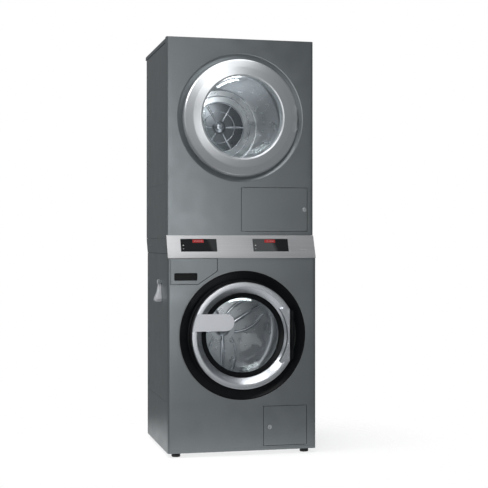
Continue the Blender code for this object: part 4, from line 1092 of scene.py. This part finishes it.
def washer_drum(looks):
    z = WASHER_Z
    shell = [
        (0, 0.4380), (0.2680, 0.4380), (0.2680, 0.0920), (0.2050, 0.0920), (0.2050, 0.0900), (0.2700, 0.0900)
    ]
    shell += [(0.2700, 0.4400), (0, 0.4400)]
    drum = lathe(soften(shell, [0, 0.028, 0.012, 0, 0, 0.014, 0.030, 0], 8), (0, 0, z))
    parts = [drum]
    for turn in range(3):
        parts.append(rib(z, 0.2688, 0.055, 0.105, 0.425, 0.038, 0.016, 30 + 120 * turn))
    obj = piece(
        "washer_drum_shell", merged(parts), looks["washer_wall"], "washer_drum_set",
        ["washer_drum"]
    )
    two_materials(obj, looks["washer_back"])
    pressed = []
    for turn in range(3):
        straight = [(0, -0.030 - 0.185 * i / 12) for i in range(13)]
        pressed.append(turned(ridge(straight, 0.013, 0.010, STAR_Y), 120 * turn))
        for sweep in (-1, 1):
            curve = []
            for i in range(15):
                angle = math.radians(90 + sweep * (14 + 34 * i / 14))
                radius = 0.060 + 0.155 * i / 14
                curve.append((radius * math.cos(angle), radius * math.sin(angle)))
            pressed.append(turned(ridge(curve, 0.008, 0.006, STAR_Y), 120 * turn))
    boss = [(0, STAR_Y), (0.040, STAR_Y), (0.034, 0.4290), (0.020, 0.4250), (0, 0.4245)]
    pressed.append(lathe(soften(boss, [0, 0, 0.006, 0.006, 0], 5), segments=72))
    star = moved(merged(pressed), (0, 0, z))
    piece("washer_drum_star", star, looks["polished"], "washer_drum_set")


def dryer_drum(looks):
    z = DRYER_Z
    shell = [
        (0.2150, 0.1000), (0.2900, 0.1000), (0.2900, 0.4310), (0.1910, 0.5200), (0.1280, 0.5200),
        (0.1280, 0.5180)
    ]
    shell += [(0.1900, 0.5180), (0.2880, 0.4295), (0.2880, 0.1020), (0.2150, 0.1020)]
    drum = lathe(soften(shell, [0, 0.010, 0.020, 0.016, 0, 0, 0.014, 0.018, 0.008, 0], 8), (0, 0, z))
    parts = [drum]
    for turn in range(3):
        parts.append(rib(z, 0.2888, 0.045, 0.115, 0.420, 0.038, 0.016, 120 * turn))
    obj = piece(
        "dryer_drum_shell", merged(parts), looks["dryer_wall"], "dryer_drum_set",
        ["dryer_drum"]
    )
    two_materials(obj, looks["dryer_ring_back"])
    disc = [
        (0, 0.5120), (0.020, 0.5125), (0.034, 0.5175), (0.1272, 0.5175), (0.1272, 0.5205), (0.040, 0.5205)
    ]
    disc += [(0.0175, 0.5240), (0.0175, 0.5860), (0, 0.5860)]
    back = lathe(soften(disc, [0, 0.004, 0.003, 0.0005, 0, 0, 0, 0.001, 0], 4), (0, 0, z))
    piece("dryer_drum_disc", back, looks["dryer_back"], "dryer_drum_set", ["dryer_drum_back"])
    spokes = []
    for turn in range(6):
        straight = [(0, 0.034 + 0.088 * i / 8) for i in range(9)]
        spokes.append(turned(ridge(straight, 0.006, 0.004, DISC_Y), 60 * turn + 30))
    cap = [(0, 0.5060), (0.012, 0.5065), (0.018, 0.5100), (0.026, 0.5150), (0.026, DISC_Y), (0, DISC_Y)]
    spokes.append(lathe(soften(cap, [0, 0.003, 0.003, 0.002, 0, 0], 4), segments=72))
    for radius in (0.078, 0.1240, 0.1560, 0.1860):
        hoop = [(radius - 0.003, DISC_Y), (radius, 0.5145), (radius + 0.003, DISC_Y)]
        spokes.append(lathe(soften(hoop, [0, 0.002, 0], 4)))
    star = moved(merged(spokes), (0, 0, z))
    piece("dryer_drum_spokes", star, looks["polished"], "dryer_drum_set")


# ---------------------------------------------------------------- dryer door


def dryer_door(looks):
    z, front = DRYER_Z, DRYER_FRONT
    profile = [(0.2685, 0.0060), (0.2685, -0.0140), (0.2630, -0.0210), (0.2290, -0.0365), (0.1950, -0.0465)]
    profile += [(0.1875, -0.0440), (0.1875, 0.0060), (0.2225, 0.0060), (0.2225, 0.0030), (0.1905, 0.0030)]
    profile += [(0.1905, -0.0425), (0.2110, -0.0385), (0.2390, -0.0275), (0.2655, -0.0130), (0.2655, 0.0060)]
    radii = [0, 0.008, 0.012, 0.05, 0.004, 0.003, 0, 0, 0, 0, 0, 0, 0, 0, 0]
    ring = lathe(soften(profile, radii, 5), (0, front, z))
    hinge = block((0.2200, front - 0.0240, z - 0.060), (0.2560, front, z + 0.060))
    room = block((0.2360, front - 0.0175, z - 0.050), (0.290, front + 0.02, z + 0.050))
    ring = carved(carved(ring, [hinge], "UNION"), [room])
    x, y = DRYER_HINGE
    parts = [ring]
    for low in (-0.0520, 0.0290):
        high = low + 0.0230
        web = block((0.230, y - 0.0060, z + low + 0.0006), (x, y + 0.0035, z + high - 0.0006))
        barrel = rod(0.0044, low, high, (x, y, z), 32, "Z")
        bore = rod(0.0029, -0.0450, 0.0450, (x, y, z), 24, "Z")
        parts.append(carved(carved(web, [barrel], "UNION"), [bore]))
    piece(
        "dryer_ring", merged(parts), looks["ring"], "dryer_door", ["dryer_door_ring"],
        sharp=40
    )
    flange = [(0.1868, -0.0250), (0.1868, -0.0190), (0.1800, -0.0190), (0.1760, 0.0100), (0.1640, 0.0400)]
    flange += [(0.1400, 0.0650), (0.1000, 0.0820), (0.0500, 0.0900), (0, 0.0920)]
    inner = [
        (0, 0.0870), (0.0500, 0.0850), (0.0980, 0.0770), (0.1360, 0.0610), (0.1590, 0.0380),
        (0.1710, 0.0090), (0.1750, -0.0250)
    ]
    radii = [0.001, 0.001, 0.002, 0.02, 0.02, 0.02, 0.02, 0.02, 0, 0, 0.02, 0.02, 0.02, 0.02, 0.02, 0.002]
    bowl = lathe(soften(flange + inner, radii, 5), (0, front, z))
    piece(
        "dryer_glass_bowl", bowl, looks["glass"], "dryer_door", ["dryer_door_glass"], sharp=50
    )


# ---------------------------------------------------------------- pieces kept from the frame


KEPT = {
    "rubber": ("tub_gasket", "washer_belt", "dryer_belt", "dryer_door_seal"),
    "galvanised": (
        "washer_base", "washer_rear_panel", "washer_tub", "washer_motor_pulley", "dryer_rear_panel",
        "dryer_heater", "dryer_motor_pulley", "dryer_blower"
    ),
    "cast": ("tub_counterweight", "drum_spider", "drum_pulley"),
    "enamel": ("washer_motor", "dryer_motor", "suspension_strut_left", "suspension_strut_right"),
    "pale": ("dispenser_housing", "dispenser_tray", "drain_pump", "dryer_fan", "lint_filter"),
    "brass": ("water_inlet",),
    "black": ("washer_door_lock", "cable_gland"),
}


def dress_kept_nodes(looks):
    for look, names in KEPT.items():
        for name in names:
            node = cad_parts[name]
            for slot in node.material_slots:
                slot.link = "OBJECT"
                slot.material = looks[look]


def add_floor():
    bm = bmesh.new()
    bmesh.ops.create_circle(bm, cap_ends=True, radius=1.6, segments=96)
    mesh = bpy.data.meshes.new("studio_floor")
    bm.to_mesh(mesh)
    bm.free()
    mesh.materials.append(make_floor())
    floor = bpy.data.objects.new("studio_floor", mesh)
    floor.location = (0, 0, -0.0005)
    bpy.context.scene.collection.objects.link(floor)


def add_lights():
    add_softbox("key", (-0.75, -6.6, 1.20), (-0.75, 0, 1.20), (3.9, 2.4), 1.75)
    add_softbox("high_front", (-0.70, -3.3, 4.0), (-0.2, -0.3, 0.95), (2.1, 2.0), 2.15)
    add_softbox("top", (-0.3, -0.3, 4.4), (0, 0, 1), (3.0, 2.4), 2.5)
    add_softbox("left", (-5.0, -1.5, 1.1), (0, -0.3, 1.1), (1.4, 3.4), 0.4)
    add_softbox("left_high", (-3.5, -0.5, 4.2), (-0.35, 0, 0.9), (2.0, 2.0), 6.0)
    add_drum_light("washer_drum_light", (0.02, 0.13, WASHER_Z + 0.13), 0.62)
    add_drum_light("dryer_drum_light", (-0.02, 0.16, DRYER_Z + 0.15), 0.95)


add_camera()
add_world()
add_lights()
LOOKS = make_looks()
washer_front(LOOKS)
dryer_front(LOOKS)
side_panels(LOOKS)
lid(LOOKS)
joint_seals(LOOKS)
fascia_closers(LOOKS)
stacking_frame(LOOKS)
fascia(LOOKS)
feet(LOOKS)
flap_door(LOOKS, "service_flap", SERVICE_FLAP, 0, SERVICE_LOCK, ("service_door", "service_lock"), 1)
flap_door(LOOKS, "filter_flap", FILTER_FLAP, DRYER_FRONT, FILTER_LOCK, ("filter_door", "filter_lock"), -1)
drawer(LOOKS)
lever(LOOKS)
surround(LOOKS)
hinge_bracket(LOOKS)
door_ring(LOOKS)
door_leaf(LOOKS)
door_glass(LOOKS)
door_handle(LOOKS)
washer_drum(LOOKS)
dryer_drum(LOOKS)
dryer_door(LOOKS)
dress_kept_nodes(LOOKS)
add_floor()
